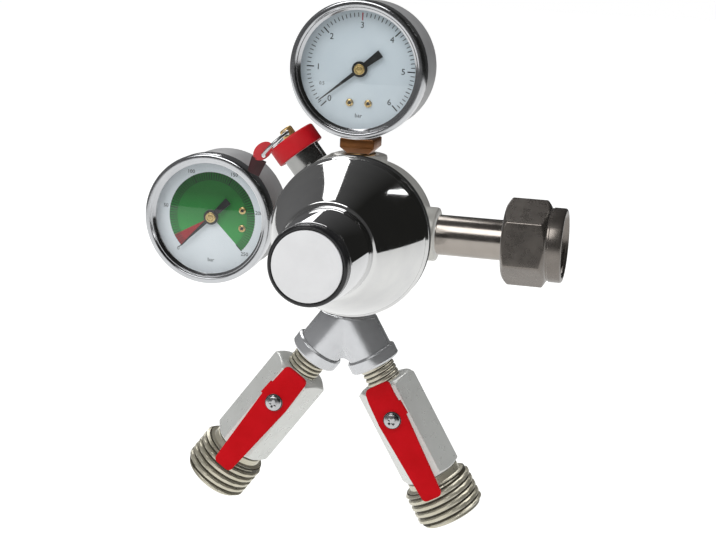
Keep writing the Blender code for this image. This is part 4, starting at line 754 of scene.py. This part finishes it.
def lettering(text, size, centre, z):
    """Upright generic figures as a thin mesh, centred on a point of the dial."""
    curve = bpy.data.curves.new("figures", "FONT")
    curve.body = text
    curve.size = size
    curve.align_x = "CENTER"
    curve.align_y = "CENTER"
    curve.extrude = PRINT / 2
    curve.resolution_u = 3
    holder = bpy.data.objects.new("figures", curve)
    bpy.context.collection.objects.link(holder)
    graph = bpy.context.evaluated_depsgraph_get()
    graph.update()
    mesh = bpy.data.meshes.new_from_object(holder.evaluated_get(graph))
    low = [min(v.co[i] for v in mesh.vertices) for i in (0, 1)]
    high = [max(v.co[i] for v in mesh.vertices) for i in (0, 1)]
    shift = Vector((centre[0] - (low[0] + high[0]) / 2, centre[1] - (low[1] + high[1]) / 2, z + PRINT / 2))
    verts = [tuple(v.co + shift) for v in mesh.vertices]
    faces = [tuple(p.vertices) for p in mesh.polygons]
    bpy.data.objects.remove(holder, do_unlink=True)
    bpy.data.curves.remove(curve)
    bpy.data.meshes.remove(mesh)
    return verts, faces


def dial_angle(share):
    return ZERO - SWEEP * share


UNIT_MARK = ("bar", 2.1, (0, -17.0))


def low_print():
    """Scale from 0 to 6 with ten ticks a unit, a red one at the middle and a half mark near zero."""
    z = DIAL_PLANE + PRINT_GAP
    top, outer = 6, 20.4
    black, red = [], []
    for k in range(10 * top + 1):
        inner, width = (17.6, 0.42) if k % 10 == 0 else (18.7, 0.3) if k % 5 == 0 else (18.9, 0.26)
        target = red if k == 5 * top else black
        target.append(tick(dial_angle(k / (10 * top)), inner, outer, width, z))
    for k in range(top + 1):
        black.append(lettering(str(k), 3.15, polar(16.0, dial_angle(k / top)), z))
    black.append(lettering("0.5", 1.7, polar(15.6, dial_angle(0.5 / top)), z))
    black.append(lettering(*UNIT_MARK, z))
    return [(*s, 0) for s in black] + [(*s, 1) for s in red]


def high_print():
    """Scale from 0 to 250 over a green sector with a red start."""
    z = DIAL_PLANE + PRINT_GAP
    inner, outer, red_end, ticks, line, line_width = 0.95, 17.4, 0.06, 75, 14.35, 0.2
    green = sector(inner, outer, red_end, 1, z, 90)
    red = sector(inner, outer, 0, red_end, z, 6)
    black = []
    for k in range(ticks + 1):
        start, width = (14.3, 0.46) if k % 15 == 0 else (14.8, 0.34)
        black.append(tick(dial_angle(k / ticks), start, outer + 0.1, width, z + PRINT))
    black.append(sector(line, line + line_width, red_end, 1, z + PRINT, 90))
    for k in range(6):
        black.append(lettering(str(50 * k), 2.0, polar(19.2, dial_angle(k / 5)), z))
    black.append(lettering(*UNIT_MARK, z))
    return [(*s, 0) for s in black] + [(*green, 1), (*red, 2)]


def make_gauge(side, at, upright, reach, printed, inks, paper):
    """Case, bezel, glass, dial with its print, face screws, tube, pointer and socket of one gauge."""
    inner, floor = CASE_R - CASE_WALL, CASE_BACK + CASE_WALL
    case = turned([(0, CASE_BACK), (CASE_R, CASE_BACK, 1.6), (CASE_R, CASE_FRONT), (inner, CASE_FRONT),
                   (inner, floor, 0.9), (0, floor)], FINE)
    build(side + "_gauge_can", at, [case], "case_steel", [side + "_gauge_case"])
    bezel = turned([
        (CASE_R + 0.3, BEZEL_BACK), (BEZEL_R, BEZEL_BACK, 0.25), (BEZEL_R, BEZEL_FRONT, 1.5),
        (23.2, BEZEL_FRONT, 0.5), (22.75, BEZEL_STEP, 0.15), (22.35, BEZEL_STEP, 0.15), (WINDOW_R, 9.9, 0.15),
        (WINDOW_R, 9.8), (CASE_R + 0.3, 9.8),
    ], FINE)
    build(side + "_gauge_rim", at, [bezel], "bezel_chrome", [side + "_gauge_bezel"], sharp=28)
    dome = []
    for k in range(1, LENS_STEPS + 1):
        out = 1 - k / LENS_STEPS
        dome.append(((WINDOW_R - 0.5) * out, 9.2 + LENS_RISE * (1 - out**2)))
    edge = [(0, LENS_BACK), (LENS_R, LENS_BACK), (LENS_R, 9.0), (WINDOW_R - 0.2, 9.15, 2.0)]
    build(side + "_gauge_glass", at, [turned(edge + dome, 96)], "lens", [side + "_gauge_lens"])
    dial = turned([(DIAL_HOLE_R, DIAL_BACK), (DIAL_R, DIAL_BACK), (DIAL_R, DIAL_PLANE, 0.1),
                   (DIAL_HOLE_R, DIAL_PLANE)], 96)
    build(side + "_gauge_plate", at, [dial], paper, [side + "_gauge_dial"])
    build(side + "_gauge_print", upright, printed, inks, (), smooth=False)
    for letter, direction in (("a", -1), ("b", 1)):
        spot = at @ Matrix.Translation((direction * SCREW_OUT, -SCREW_DOWN, 0))
        head = turned([(0, 1.3), (EYELET_HOLE_R, 1.3), (EYELET_HOLE_R, 5.8), (EYELET_R, 5.8),
                       (EYELET_R, 6.2, 0.3), (0.8, 6.45, 0.1), (EYELET_HOLE_R, 5.95), (0, 5.95)], 32)
        # A black disc in the head's hollow: painted shade of the eyelet hole
        eyelet_hole_shade = tube(0, 0.62, 5.9, 6.0, 24)
        build(side + "_face_screw_" + letter, spot, [head, (*eyelet_hole_shade, 1)], ["bright_brass", "black_print_and_hole_shade"],
              [side + "_dial_screw_" + letter])
    make_tube(side, at)
    make_pointer(side, upright)
    make_socket(side, at, reach)


def make_tube(side, at):
    """The flattened tube bent into an open C behind the dial."""
    half, low, high = TUBE_THICK / 2, TUBE_PLANE - TUBE_WIDTH / 2, TUBE_PLANE + TUBE_WIDTH / 2
    section = [(-half, low + TUBE_EDGE), (0, low), (half, low + TUBE_EDGE),
               (half, high - TUBE_EDGE), (0, high), (-half, high - TUBE_EDGE)]
    rings = []
    for k in range(TUBE_STEPS + 1):
        angle = TUBE_START + TUBE_SPAN * k / TUBE_STEPS
        rings.append([(*polar(TUBE_R + r, angle), z) for r, z in section])
    build(side + "_gauge_tube", at, [grid(rings)], "brass", [side + "_bourdon_tube"])


def make_pointer(side, upright):
    """Tapered needle with a square-ended tail, a black hub ring and a brass cap."""
    arm = upright @ Matrix.Rotation(ZERO, 4, "Z")
    lean = Matrix.Rotation(-NEEDLE_LEAN[side], 4, "Z")
    low, high = DIAL_PLANE + 1.2, DIAL_PLANE + 1.6
    outline = [(NEEDLE_REACH[side], 0.14), (2, 0.72), (-1.6, 0.85), (-2.4, 1.0), (-9.8, 1.5)]
    outline += [(x, -y) for x, y in reversed(outline)]
    needle = moved(extruded(outline, low, high), lean)
    arbor_r, hub_r, hub_back, hub_front, cap_front = 0.85, 2.9, 6.5, 7.2, 7.75
    hub = turned([(0, -4.5), (arbor_r, -4.5), (arbor_r, hub_back), (hub_r, hub_back), (hub_r, hub_front, 0.2),
                  (0, hub_front + 0.05)], 48)
    cap = turned([(0, 7.1), (2.0, 7.1), (2.0, cap_front, 0.2), (1.35, cap_front, 0.1), (1.25, 7.6),
                  (1.1, 7.6), (1.0, cap_front, 0.1), (0.45, 7.8), (0.4, 7.65), (0, 7.65)], 48)
    build(side + "_needle_hand", arm, [needle, hub, (*cap, 1)], ["pointer_black", "bright_brass"],
          [side + "_pointer"], body=side + "_needle", bevel=0.06)


def make_socket(side, at, reach):
    """Square brass block, the neck inside the case and the threaded end in the port."""
    axis = axes(at, (0, 0, 0), (0, -1, 0), (0, 0, 1))
    high = reach - PORT_REACH - 0.3
    outline = square(SOCKET_HALF, SOCKET_HALF, 0.5)

    def level(shrink, z):
        return [(x * (1 - shrink / SOCKET_HALF), y * (1 - shrink / SOCKET_HALF), z) for x, y in outline]

    block = grid([level(shrink, z) for shrink, z in (
        (0.5, SOCKET_LOW), (0.15, SOCKET_LOW + 0.12), (0, SOCKET_LOW + 0.45), (0, high - 2.6),
        (0.12, high - 2.4), (2.0, high - 0.45), (2.4, high))])
    neck = box((-NECK_HALF, -NECK_HALF, NECK_LOW), (NECK_HALF, NECK_HALF, SOCKET_LOW + 1))
    thread = grid(thread_rings(PORT_THREAD_R, 0.75, SOCKET_PITCH, high - 0.4, reach - THREAD_START, ROUND, 8))
    build(side + "_gauge_stub", axis, [block, neck, (*thread, 1)], ["copper_brass", "dark_brass"],
          [side + "_gauge_socket"], sharp=34)


make_gauge("low", LOW_GAUGE, LOW_GAUGE, LOW_REACH, low_print(), ("black_print_and_hole_shade", "print_red"), "dial_white")
# Its dial paper is painted brighter than the low gauge's: painted light
make_gauge("high", HIGH_GAUGE, HIGH_DIAL, HIGH_REACH, high_print(),
           ("black_print_and_hole_shade", "print_green", "print_red"), "dial_pale")


# Relief valve, its pull ring and tag

BARREL_R, BARREL_END, BARREL_BORE_R, BARREL_FLOOR, VENT_R = 7.25, 39.3, 5.35, 31.0, 2.0
HOOD_R, HOOD_BACK, HOOD_FRONT = 9.5, 36.3, 43.3
PIN_BACK, PIN_FRONT, PIN_DISC_R, PIN_R, PIN_HEAD_R = 31.3, 47.2, 4.4, 1.9, 2.6
EYE_HEIGHT, EYE_R = 45.4, 1.35
LOOP_R, WIRE_R = 6.4, 0.6
TAG_HOLE_R, TAG_HALF_THICK, TAG_LONG, TAG_WIDE, TAG_CENTRE = 0.9, 0.65, 4.2, 2.9, (0.9, 1.4)
TAIL_HALF, TAIL_HALF_THICK, TAIL_LEVELS, TAIL_TAPER = 3.0, 0.6, (0.0, 1.5, 5.0, 6.2), 0.03
PULL_ANGLE, TAG_HANG = math.radians(97.5), math.radians(10)

barrel = turned([
    (VENT_R, THREAD_START), (PORT_THREAD_R, THREAD_START), (PORT_THREAD_R, THREAD_END),
    (BARREL_R, THREAD_END, 0.4), (BARREL_R, BARREL_END, 0.3), (BARREL_BORE_R, BARREL_END),
    (BARREL_BORE_R, BARREL_FLOOR), (VENT_R, BARREL_FLOOR),
], 96)
build("relief_barrel", RELIEF, [barrel], "barrel_nickel", ["relief_body"])
hood = turned([(BARREL_R + 0.3, HOOD_BACK), (HOOD_R, HOOD_BACK, 0.45), (HOOD_R, HOOD_FRONT, 0.9),
               (2.2, HOOD_FRONT, 0.2), (2.2, BARREL_END + 0.3), (BARREL_R + 0.3, BARREL_END + 0.3)], 96)
build("relief_hood", RELIEF, [hood], "red_cap", ["relief_cap"])
pin = turned([(0, PIN_BACK), (PIN_DISC_R, PIN_BACK), (PIN_DISC_R, PIN_BACK + 1.8), (PIN_R, PIN_BACK + 1.8),
              (PIN_R, HOOD_FRONT + 0.3), (PIN_HEAD_R, HOOD_FRONT + 0.3, 0.3), (PIN_HEAD_R, PIN_FRONT, 0.8),
              (0, PIN_FRONT)], 48)
rod = build("relief_pin", RELIEF, [pin], "bright_brass", ["relief_stem"], body="relief_plunger")
EYE = axes(RELIEF, (0, 0, EYE_HEIGHT), (0, 1, 0), (0, 0, 1))
cut_by(rod, EYE, [tube(0, EYE_R, -4, 4, 32)])
resmooth(rod)
SWING = axes(EYE, (0, 0, 0), (0, 0, 1), (-math.sin(PULL_ANGLE), math.cos(PULL_ANGLE), 0))
LOOP = SWING @ Matrix.Translation((0, LOOP_R, 0)) @ Matrix.Rotation(math.pi / 2, 4, "Y")
build("ring_wire", LOOP, [torus(LOOP_R, WIRE_R, 96, 16)], "steel", ["pull_ring"], body="ring")
HOLDER = axes(SWING, (0, LOOP_R * (1 + math.cos(TAG_HANG)), LOOP_R * math.sin(TAG_HANG)),
              (0, -math.sin(TAG_HANG), math.cos(TAG_HANG)), (1, 0, 0))
TAIL = axes(HOLDER, (-2.2, 0.2, 0.0), (-0.90, -0.39, -0.16), (0.15, -0.02, 0.99))
plate = [(TAG_CENTRE[0] + TAG_LONG * math.cos(a), TAG_CENTRE[1] + TAG_WIDE * math.sin(a)) for a in even(48)]
strip = square(TAIL_HALF, TAIL_HALF_THICK, 0.3)
tail = moved(grid([[(x * (1 - TAIL_TAPER * z), y, z) for x, y in strip] for z in TAIL_LEVELS]),
             to_frame(HOLDER, TAIL))
# The folded tail is the tag's red plastic painted dark: painted shade, as it faces away from the light
tag = build("tag_plate", HOLDER, [extruded(plate, -TAG_HALF_THICK, TAG_HALF_THICK), (*tail, 1)],
            ["red_plastic", "red_plastic_painted_shade"], ["ring_tag"], body="ring")
cut_by(tag, HOLDER, [tube(0, TAG_HOLE_R, -2, 2, 32)])
soften(tag, 0.3, 3)
resmooth(tag)


# Wye: leg cylinders and a notched web, melted into one casting, with a collar on each leg

LEG_R, LEG_END, LEG_COLLAR_R, COLLAR_START, COLLAR_END = 8.8, 21.5, 9.9, 17.5, 22.5
SOCKET_BORE_R, VALVE_THREAD_BORE_R, SOCKET_FLOOR = 7.2, 6.9, 14.5
CROTCH, NOTCH_R, NOTCH_DROP, NOTCH_STEPS = 5.0, 4.4, 1.2, 24
NECK_BORE_R, NECK_START, NECK_END = 2.4, -3.0, 11.2
VOXEL, MELT, MELT_ROUNDS = 0.42, 0.5, 3
WEB_TOP = WYE_APEX - 31.8
WEB = axes(WYE, (0, 0, 0), (0, -1, 0), (0, 0, 1))
web_low = LEG_R / math.sin(WYE_ANGLE) + CROTCH
web_half = web_low * math.tan(WYE_ANGLE) - LEG_R / math.cos(WYE_ANGLE) + 1.5
web_thick = 0.72 * LEG_R


def cast_leg(at):
    """A leg from the level cut under the port to its square end, in the wye's frame."""
    out = at.to_3x3().col[2]
    rings = [[], []]
    for point in circle(LEG_R, 0, even(96)):
        foot = at @ Vector(point)
        rings[0].append(tuple(foot + out * ((WEB_TOP - foot.z) / out.z)))
        rings[1].append(tuple(foot + out * LEG_END))
    return grid(rings)


notch_start = math.asin(NOTCH_DROP / NOTCH_R)
notch = []
for k in range(NOTCH_STEPS + 1):
    x, y = polar(NOTCH_R, notch_start + (math.pi - 2 * notch_start) * k / NOTCH_STEPS)
    notch.append((x, y - web_low - NOTCH_DROP))
web = extruded([(-0.2, WEB_TOP), (0.2, WEB_TOP), (web_half, -web_low)] + notch + [(-web_half, -web_low)],
               -web_thick / 2, web_thick / 2)
cast_legs = [cast_leg(to_frame(WYE, leg)) for leg in LEGS.values()]
casting = build("wye_casting", WYE, cast_legs + [moved(web, to_frame(WYE, WEB))], "cast_grey", ["wye"])
casting.data.transform(Matrix.Scale(1 / MM, 4))
remesh = casting.modifiers.new("cast", "REMESH")
remesh.mode = "VOXEL"
remesh.voxel_size = VOXEL
melt = casting.modifiers.new("melt", "SMOOTH")
melt.factor = MELT
melt.iterations = MELT_ROUNDS
apply_all(casting)
casting.data.transform(Matrix.Scale(MM, 4))
resmooth(casting, 60)
collar = turned([
    (SOCKET_BORE_R, COLLAR_START - 0.1), (LEG_COLLAR_R - 0.7, COLLAR_START, 0.2),
    (LEG_COLLAR_R, COLLAR_START + 0.7, 0.4), (LEG_COLLAR_R, COLLAR_END - 0.7, 0.4),
    (LEG_COLLAR_R - 0.7, COLLAR_END, 0.2), (VALVE_THREAD_BORE_R, COLLAR_END),
    (VALVE_THREAD_BORE_R, SOCKET_FLOOR), (SOCKET_BORE_R, SOCKET_FLOOR),
], 96)
neck = tube(NECK_BORE_R, PORT_THREAD_R, NECK_START, NECK_END)
build("wye_collars", WYE, [moved(collar, to_frame(WYE, leg)) for leg in LEGS.values()] + [neck], "cast_grey",
      ())


# Shut-off valves

VALVE_START, VALVE_END, VALVE_HEX, VALVE_EDGE = 30.0, 70.0, 21.0, 0.7
VALVE_NECK_R, NECK_PITCH, NECK_GROOVE_SHADE_R = 6.6, 1.814, 6.05
GLAND_R, GLAND_BORE_R, GLAND_LOW, GLAND_HIGH = 4.8, 3.2, 9.5, 13.4
OUTLET_R, OUTLET_PITCH, OUTLET_DEPTH, OUTLET_START, OUTLET_END = 13.22, 2.75, 1.5, 73.3, 88.4
OUTLET_SLEEVE_R, OUTLET_NECK_R, SLEEVE_BACK, OUTLET_FLOOR = 8.0, 10.4, 51.2, 77.4
OUTLET_BORE_R, OUTLET_MOUTH_R, OUTLET_GROOVE_SHADE_R = 4.2, 9.4, 12.32
THREAD_ROWS, THREAD_CREST = 14, 0.42


def make_valve(side, outer):
    """Hexagonal body with its threaded neck and gland, the outlet end and the lever."""
    leg, stem_axis = LEGS[side], STEMS[side]
    angles = hex_angles(VALVE_HEX, VALVE_EDGE, per_corner=5, per_flat=6)
    block = grid([circle(6.2, VALVE_START, angles)]
                 + hex_side(VALVE_HEX, VALVE_EDGE, VALVE_START, VALVE_END, angles, 0.94, 0.22)
                 + [circle(9.0, VALVE_END, angles)])
    thread = grid(thread_rings(VALVE_NECK_R, 0.75, NECK_PITCH, 15.0, VALVE_START + 0.3, 96, THREAD_ROWS, 0.4,
                               THREAD_CREST))
    gland = moved(tube(GLAND_BORE_R, GLAND_R, GLAND_LOW, GLAND_HIGH, ease=0.4), to_frame(leg, stem_axis))
    # A dark tube at the neck thread's root shows in the grooves: painted shade
    root = tube(5.6, NECK_GROOVE_SHADE_R, 15.2, VALVE_START + 0.2, 96)
    build(side + "_valve_block", leg, [block, (*thread, 1), gland, (*root, 2)],
          ["hex_nickel", "thread_nickel", "painted_groove_shade"], [side + "_valve_body"], sharp=30)

    around = even(96)
    rings = [circle(r, z, around) for r, z in (
        (OUTLET_SLEEVE_R, SLEEVE_BACK), (OUTLET_SLEEVE_R, VALVE_END + 0.3),
        (OUTLET_NECK_R - 0.2, VALVE_END + 0.3), (OUTLET_NECK_R, VALVE_END + 0.5),
        (OUTLET_NECK_R, OUTLET_START - 0.6), (OUTLET_NECK_R + 0.4, OUTLET_START - 0.4),
        (12.0, OUTLET_START - 0.3))]
    rings += thread_rings(OUTLET_R, OUTLET_DEPTH, OUTLET_PITCH, OUTLET_START, OUTLET_END - 1.0, 96,
                          THREAD_ROWS, 0.35, THREAD_CREST)
    rings += [circle(r, z, around) for r, z in (
        (11.75, OUTLET_END - 0.35), (11.3, OUTLET_END), (OUTLET_MOUTH_R + 0.3, OUTLET_END),
        (OUTLET_MOUTH_R, OUTLET_END - 0.35), (OUTLET_MOUTH_R, OUTLET_FLOOR),
        (OUTLET_BORE_R + 0.3, OUTLET_FLOOR), (OUTLET_BORE_R, OUTLET_FLOOR - 0.3),
        (OUTLET_BORE_R, SLEEVE_BACK))]
    # A dark tube at the outlet thread's root shows in the grooves: painted shade
    root = tube(11.0, OUTLET_GROOVE_SHADE_R, OUTLET_START - 0.1, OUTLET_END - 1.3, 96)
    build(side + "_outlet_end", leg, [grid(rings, loop=True), (*root, 1)], ["thread_nickel", "painted_groove_shade"],
          [side + "_outlet_nipple"], sharp=40)
    make_lever(side, stem_axis, outer)


LEVER_BACK, LEVER_TIP, LEVER_LOW, LEVER_HIGH, LEVER_EASE = -14.0, 34.0, 13.7, 15.5, 0.4
BACK_HALF, MIDDLE_HALF, TIP_HALF, BACK_CORNER, TIP_CORNER = 5.1, 5.75, 3.9, 1.7, 1.6
TAB_BACK, TAB_FRONT, TAB_WIDTH = -5.5, 0.0, 0.7
BEND_START, BEND_LENGTH, BEND_DROP = -9.0, 5.0, 1.6
PAN_R, PAN_LOW, PAN_TOP, SHANK_R, SCREW_SHADE_R = 2.95, 15.8, 17.8, 1.4, 3.35
CROSS_HALF, CROSS_HALF_WIDTH, CROSS_FLOOR, CROSS_TURN = 1.9, 0.48, 16.5, 0.3
LEVER_STATIONS = [
    LEVER_BACK, -13.9, -13.7, -13.3, -12.8, -12.3, -11.5, -10.5, -9.5, BEND_START, -8.0, -7.0,
    TAB_BACK - 0.12, TAB_BACK, -4.0, -2.0, TAB_FRONT, TAB_FRONT + 0.12, 3.0, 8.0, 14.0, 20.0, 26.0, 30.0,
    32.4, 33.0, 33.5, 33.8, 33.95, LEVER_TIP]


def lever_half_widths(y):
    """Half widths on the outer and the inner side at a distance from the screw towards the tip."""
    if y < 0:
        half = BACK_HALF + (MIDDLE_HALF - BACK_HALF) * (1 - y / LEVER_BACK)
    else:
        half = MIDDLE_HALF + (TIP_HALF - MIDDLE_HALF) * y / LEVER_TIP
    for inset, corner in ((y - LEVER_BACK, BACK_CORNER), (LEVER_TIP - y, TIP_CORNER)):
        if inset < corner:
            half -= corner - math.sqrt(max(0.0, corner**2 - (corner - inset) ** 2))
    tab = TAB_WIDTH if TAB_BACK <= y <= TAB_FRONT else 0.0
    return half + tab, half


def make_lever(side, axis, outer):
    """A painted strip lofted along its length, its short end bent down, with a pan head screw."""
    low, high, ease = LEVER_LOW, LEVER_HIGH, LEVER_EASE
    rings = []
    for y in LEVER_STATIONS:
        wide, narrow = lever_half_widths(y)
        bend = min(1.0, max(0.0, (BEND_START - y) / BEND_LENGTH))
        drop = -BEND_DROP * bend * bend * (3 - 2 * bend)
        section = rounded([(-narrow, low, ease), (wide, low, ease), (wide, high, ease),
                           (-narrow, high, ease)], True, 3)
        rings.append([(x * outer, y, z + drop) for x, z in section])
    body = side + "_handle"
    build(side + "_lever_strip", axis, [grid(rings)], "red_paint", [side + "_lever"], body=body,
          sharp=40)
    head = turned([(0, 11.0), (SHANK_R, 11.0), (SHANK_R, PAN_LOW), (PAN_R, PAN_LOW, 0.2),
                   (PAN_R, PAN_LOW + 0.7, 0.3), (2.6, 17.25, 0.7), (1.3, PAN_TOP - 0.1, 1.2),
                   (0, PAN_TOP)], ROUND)
    # A thin black ring under the screw head: painted shade of the gap round the head
    screw_shade_ring = tube(2.4, SCREW_SHADE_R, high + 0.05, high + 0.4, ease=0.12)
    screw = build(side + "_lever_fixing", axis, [head, (*screw_shade_ring, 1)], ["steel", "black_plastic"],
                  [side + "_lever_screw"], body=body)
    verts, faces = box((-CROSS_HALF, -CROSS_HALF_WIDTH, CROSS_FLOOR), (CROSS_HALF, CROSS_HALF_WIDTH, 19.0))
    slot = [(x * (1.15 if z > 17 else 0.55), y, z) for x, y, z in verts], faces
    for turn in (CROSS_TURN, CROSS_TURN + math.pi / 2):
        cut_by(screw, axis, [moved(slot, Matrix.Rotation(turn, 4, "Z"))])
    resmooth(screw)


make_valve("left", 1)
make_valve("right", -1)


# The photo's bonnet and knob mirror only the table and dark cards, so other pieces leave no reflection

MIRRORED = ("bonnet_shell", "back_plug", "knob_cover", "knob_insert", "knob_disc")
for piece in PIECES:
    piece.visible_glossy = piece.name in MIRRORED


# Finishes of the CAD nodes that stay: they sit inside or behind other pieces

INSIDE = {
    "rubber": ["diaphragm"],
    "brass": ["diaphragm_ring", "diaphragm_plate", "spring_button", "nozzle"],
    "spring_steel": ["range_spring", "poppet_spring", "relief_spring"],
    "steel": ["adjusting_screw", "poppet"],
    "seal_white": ["inlet_gasket"],
}
for side in LEGS:
    INSIDE["brass"].append(side + "_valve_stem")
    INSIDE["steel"].append(side + "_ball")
    INSIDE["seal_white"] += [side + "_inlet_seat", side + "_outlet_seat"]
for finish, names in INSIDE.items():
    for name in names:
        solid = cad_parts[name]
        solid.visible_glossy = False
        for place in solid.material_slots:
            place.material = F[finish]


# Camera at the photograph's angle


def outward(azimuth, elevation):
    """The way from the object to a place round it. Azimuth 0 is the front."""
    level = math.cos(elevation)
    return Vector((math.sin(azimuth) * level, -math.cos(azimuth) * level, math.sin(elevation)))


AZIMUTH, ELEVATION, ROLL = math.radians(13.72), math.radians(12.47), math.radians(2.55)
DISTANCE = 0.595
LENS_MM, SENSOR_MM = 77.86, 36.0
TARGET = Vector((-0.06718, 0.0, -0.01671))
back = outward(AZIMUTH, ELEVATION)
right_way = Vector((math.cos(AZIMUTH), math.sin(AZIMUTH), 0))
up_way = back.cross(right_way)
x_way = right_way * math.cos(ROLL) + up_way * math.sin(ROLL)
y_way = up_way * math.cos(ROLL) - right_way * math.sin(ROLL)
lens_data = bpy.data.cameras.new("camera")
lens_data.lens = LENS_MM
lens_data.sensor_width = SENSOR_MM
camera = bpy.data.objects.new("camera", lens_data)
turn = Matrix((x_way, y_way, back)).transposed().to_4x4()
camera.matrix_world = Matrix.Translation(TARGET + back * DISTANCE) @ turn
bpy.context.collection.objects.link(camera)
bpy.context.scene.camera = camera
bpy.context.scene.view_settings.view_transform = "Standard"


# Floor, dark tent, world and lamps

CENTRE = Vector((-0.0663, 0.0, -0.01))
FLOOR_HALF, FLOOR_Z = 6.0, -0.2
SEEN_GLOW, MIRRORED_GLOW = 0.3, 0.15
TENT_RADIUS, TENT_ROWS, TENT_COLUMNS = 1.6, 24, 96
TENT_BACK_EDGE, TENT_FRONT_DROP = math.radians(-6), math.radians(-9)
TENT_LEFT, TENT_RIGHT = (-1.2, (0.14, 0.14, 0.142, 1)), (0.7, (0.015, 0.015, 0.014, 1))
LAMP_DISTANCE = 1.2
LAMPS = {  # azimuth and elevation in degrees, width and height in metres, watts, tilt in degrees
    "key": (-20, 47, 0.85, 0.62, 5.2, 0),
    "back": (-151, 44, 0.30, 1.1, 2.6, -12),
    "rim": (137, 37, 0.05, 0.30, 0.15, 0),
}


def glow(name):
    """A material that shines with strength 1."""
    made, tree = new_material(name, shader=False)
    shine = node(tree, "ShaderNodeEmission")
    shine.inputs["Strength"].default_value = 1.0
    tree.links.new(shine.outputs["Emission"], tree.nodes["Material Output"].inputs["Surface"])
    return made


def camera_or_mirror(tree):
    """1 for camera, glossy and transmission rays."""
    path = node(tree, "ShaderNodeLightPath").outputs
    seen = math_node(tree, "MAXIMUM", path["Is Camera Ray"], path["Is Glossy Ray"])
    return math_node(tree, "MAXIMUM", seen, path["Is Transmission Ray"])


def make_floor():
    """Pale paper that keeps the object's shadow and looks white to the camera."""
    corners = [(x * FLOOR_HALF, y * FLOOR_HALF, FLOOR_Z) for x, y in ((-1, -1), (1, -1), (1, 1), (-1, 1))]
    mesh = bpy.data.meshes.new("floor")
    mesh.from_pydata(corners, [], [(0, 1, 2, 3)])
    made, tree = new_material("floor_paper")
    shader = tree.nodes["Principled BSDF"]
    shader.inputs["Roughness"].default_value = 0.9
    shader.inputs["Specular IOR Level"].default_value = 0.1
    mottle = mixed(tree, noise(tree, object_place(tree), 2.0), (0.80, 0.80, 0.79, 1), (0.84, 0.84, 0.83, 1))
    tree.links.new(mottle, shader.inputs["Base Color"])
    shader.inputs["Emission Color"].default_value = (1, 1, 1, 1)
    seen = math_node(tree, "MULTIPLY", node(tree, "ShaderNodeLightPath").outputs["Is Camera Ray"], SEEN_GLOW)
    shine = math_node(tree, "MULTIPLY_ADD", camera_or_mirror(tree), MIRRORED_GLOW, seen)
    tree.links.new(shine, shader.inputs["Emission Strength"])
    mesh.materials.append(made)
    floor = bpy.data.objects.new("floor", mesh)
    bpy.context.collection.objects.link(floor)
    return floor


def tent_edge(azimuth):
    """Lowest elevation of the dark shell: the pale table reaches further back than to the front."""
    front = 0.5 + 0.5 * math.cos(azimuth)
    return TENT_BACK_EDGE + TENT_FRONT_DROP * front**2 * (3 - 2 * front)


def make_tent():
    """A dark upper shell that only mirrors see, as black cards round a studio table."""
    rings = []
    for k in range(TENT_ROWS):
        ring = []
        for a in even(TENT_COLUMNS):
            low = tent_edge(a)
            ring.append(outward(a, low + (math.pi / 2 - low) * k / TENT_ROWS) * TENT_RADIUS)
        rings.append(ring)
    rings.append([(0, 0, TENT_RADIUS)])
    verts, faces = grid(rings)
    mesh = bpy.data.meshes.new("tent")
    mesh.from_pydata(verts, [], faces[:-1])
    made = glow("tent_cloth")
    tree = made.node_tree
    shine = next(n for n in tree.nodes if n.type == "EMISSION")
    split = node(tree, "ShaderNodeSeparateXYZ")
    tree.links.new(object_place(tree), split.inputs[0])
    share = spread(tree, split.outputs["X"], 0.0, 1.0, TENT_LEFT[0], TENT_RIGHT[0])
    tree.links.new(mixed(tree, share, TENT_LEFT[1], TENT_RIGHT[1]), shine.inputs["Color"])
    mesh.materials.append(made)
    tent = bpy.data.objects.new("tent", mesh)
    tent.location = CENTRE
    bpy.context.collection.objects.link(tent)
    for ray in ("camera", "diffuse", "shadow", "transmission", "volume_scatter"):
        setattr(tent, "visible_" + ray, False)
    return tent


def lamp(name, azimuth, elevation, width, height, power, tilt):
    """A soft area lamp that faces the object."""
    way = outward(math.radians(azimuth), math.radians(elevation))
    data = bpy.data.lights.new(name, "AREA")
    data.shape = "RECTANGLE"
    data.size, data.size_y = width, height
    data.energy = power
    made = bpy.data.objects.new(name, data)
    made.location = CENTRE + way * LAMP_DISTANCE
    made.rotation_mode = "QUATERNION"
    made.rotation_quaternion = (-way).to_track_quat("-Z", "Y") @ Quaternion((0, 0, 1), math.radians(tilt))
    made.visible_camera = False
    bpy.context.collection.objects.link(made)


def make_world():
    """White to the camera and to mirrors, a soft grey light to everything else."""
    world = bpy.data.worlds.new("studio")
    bpy.context.scene.world = world
    world.use_nodes = True
    tree = world.node_tree
    shade = tree.nodes["Background"]
    sky = mixed(tree, camera_or_mirror(tree), (0.68, 0.685, 0.69, 1), (1, 1, 1, 1))
    tree.links.new(sky, shade.inputs["Color"])


make_floor()
make_tent()
make_world()
for name, settings in LAMPS.items():
    lamp(name, *settings)
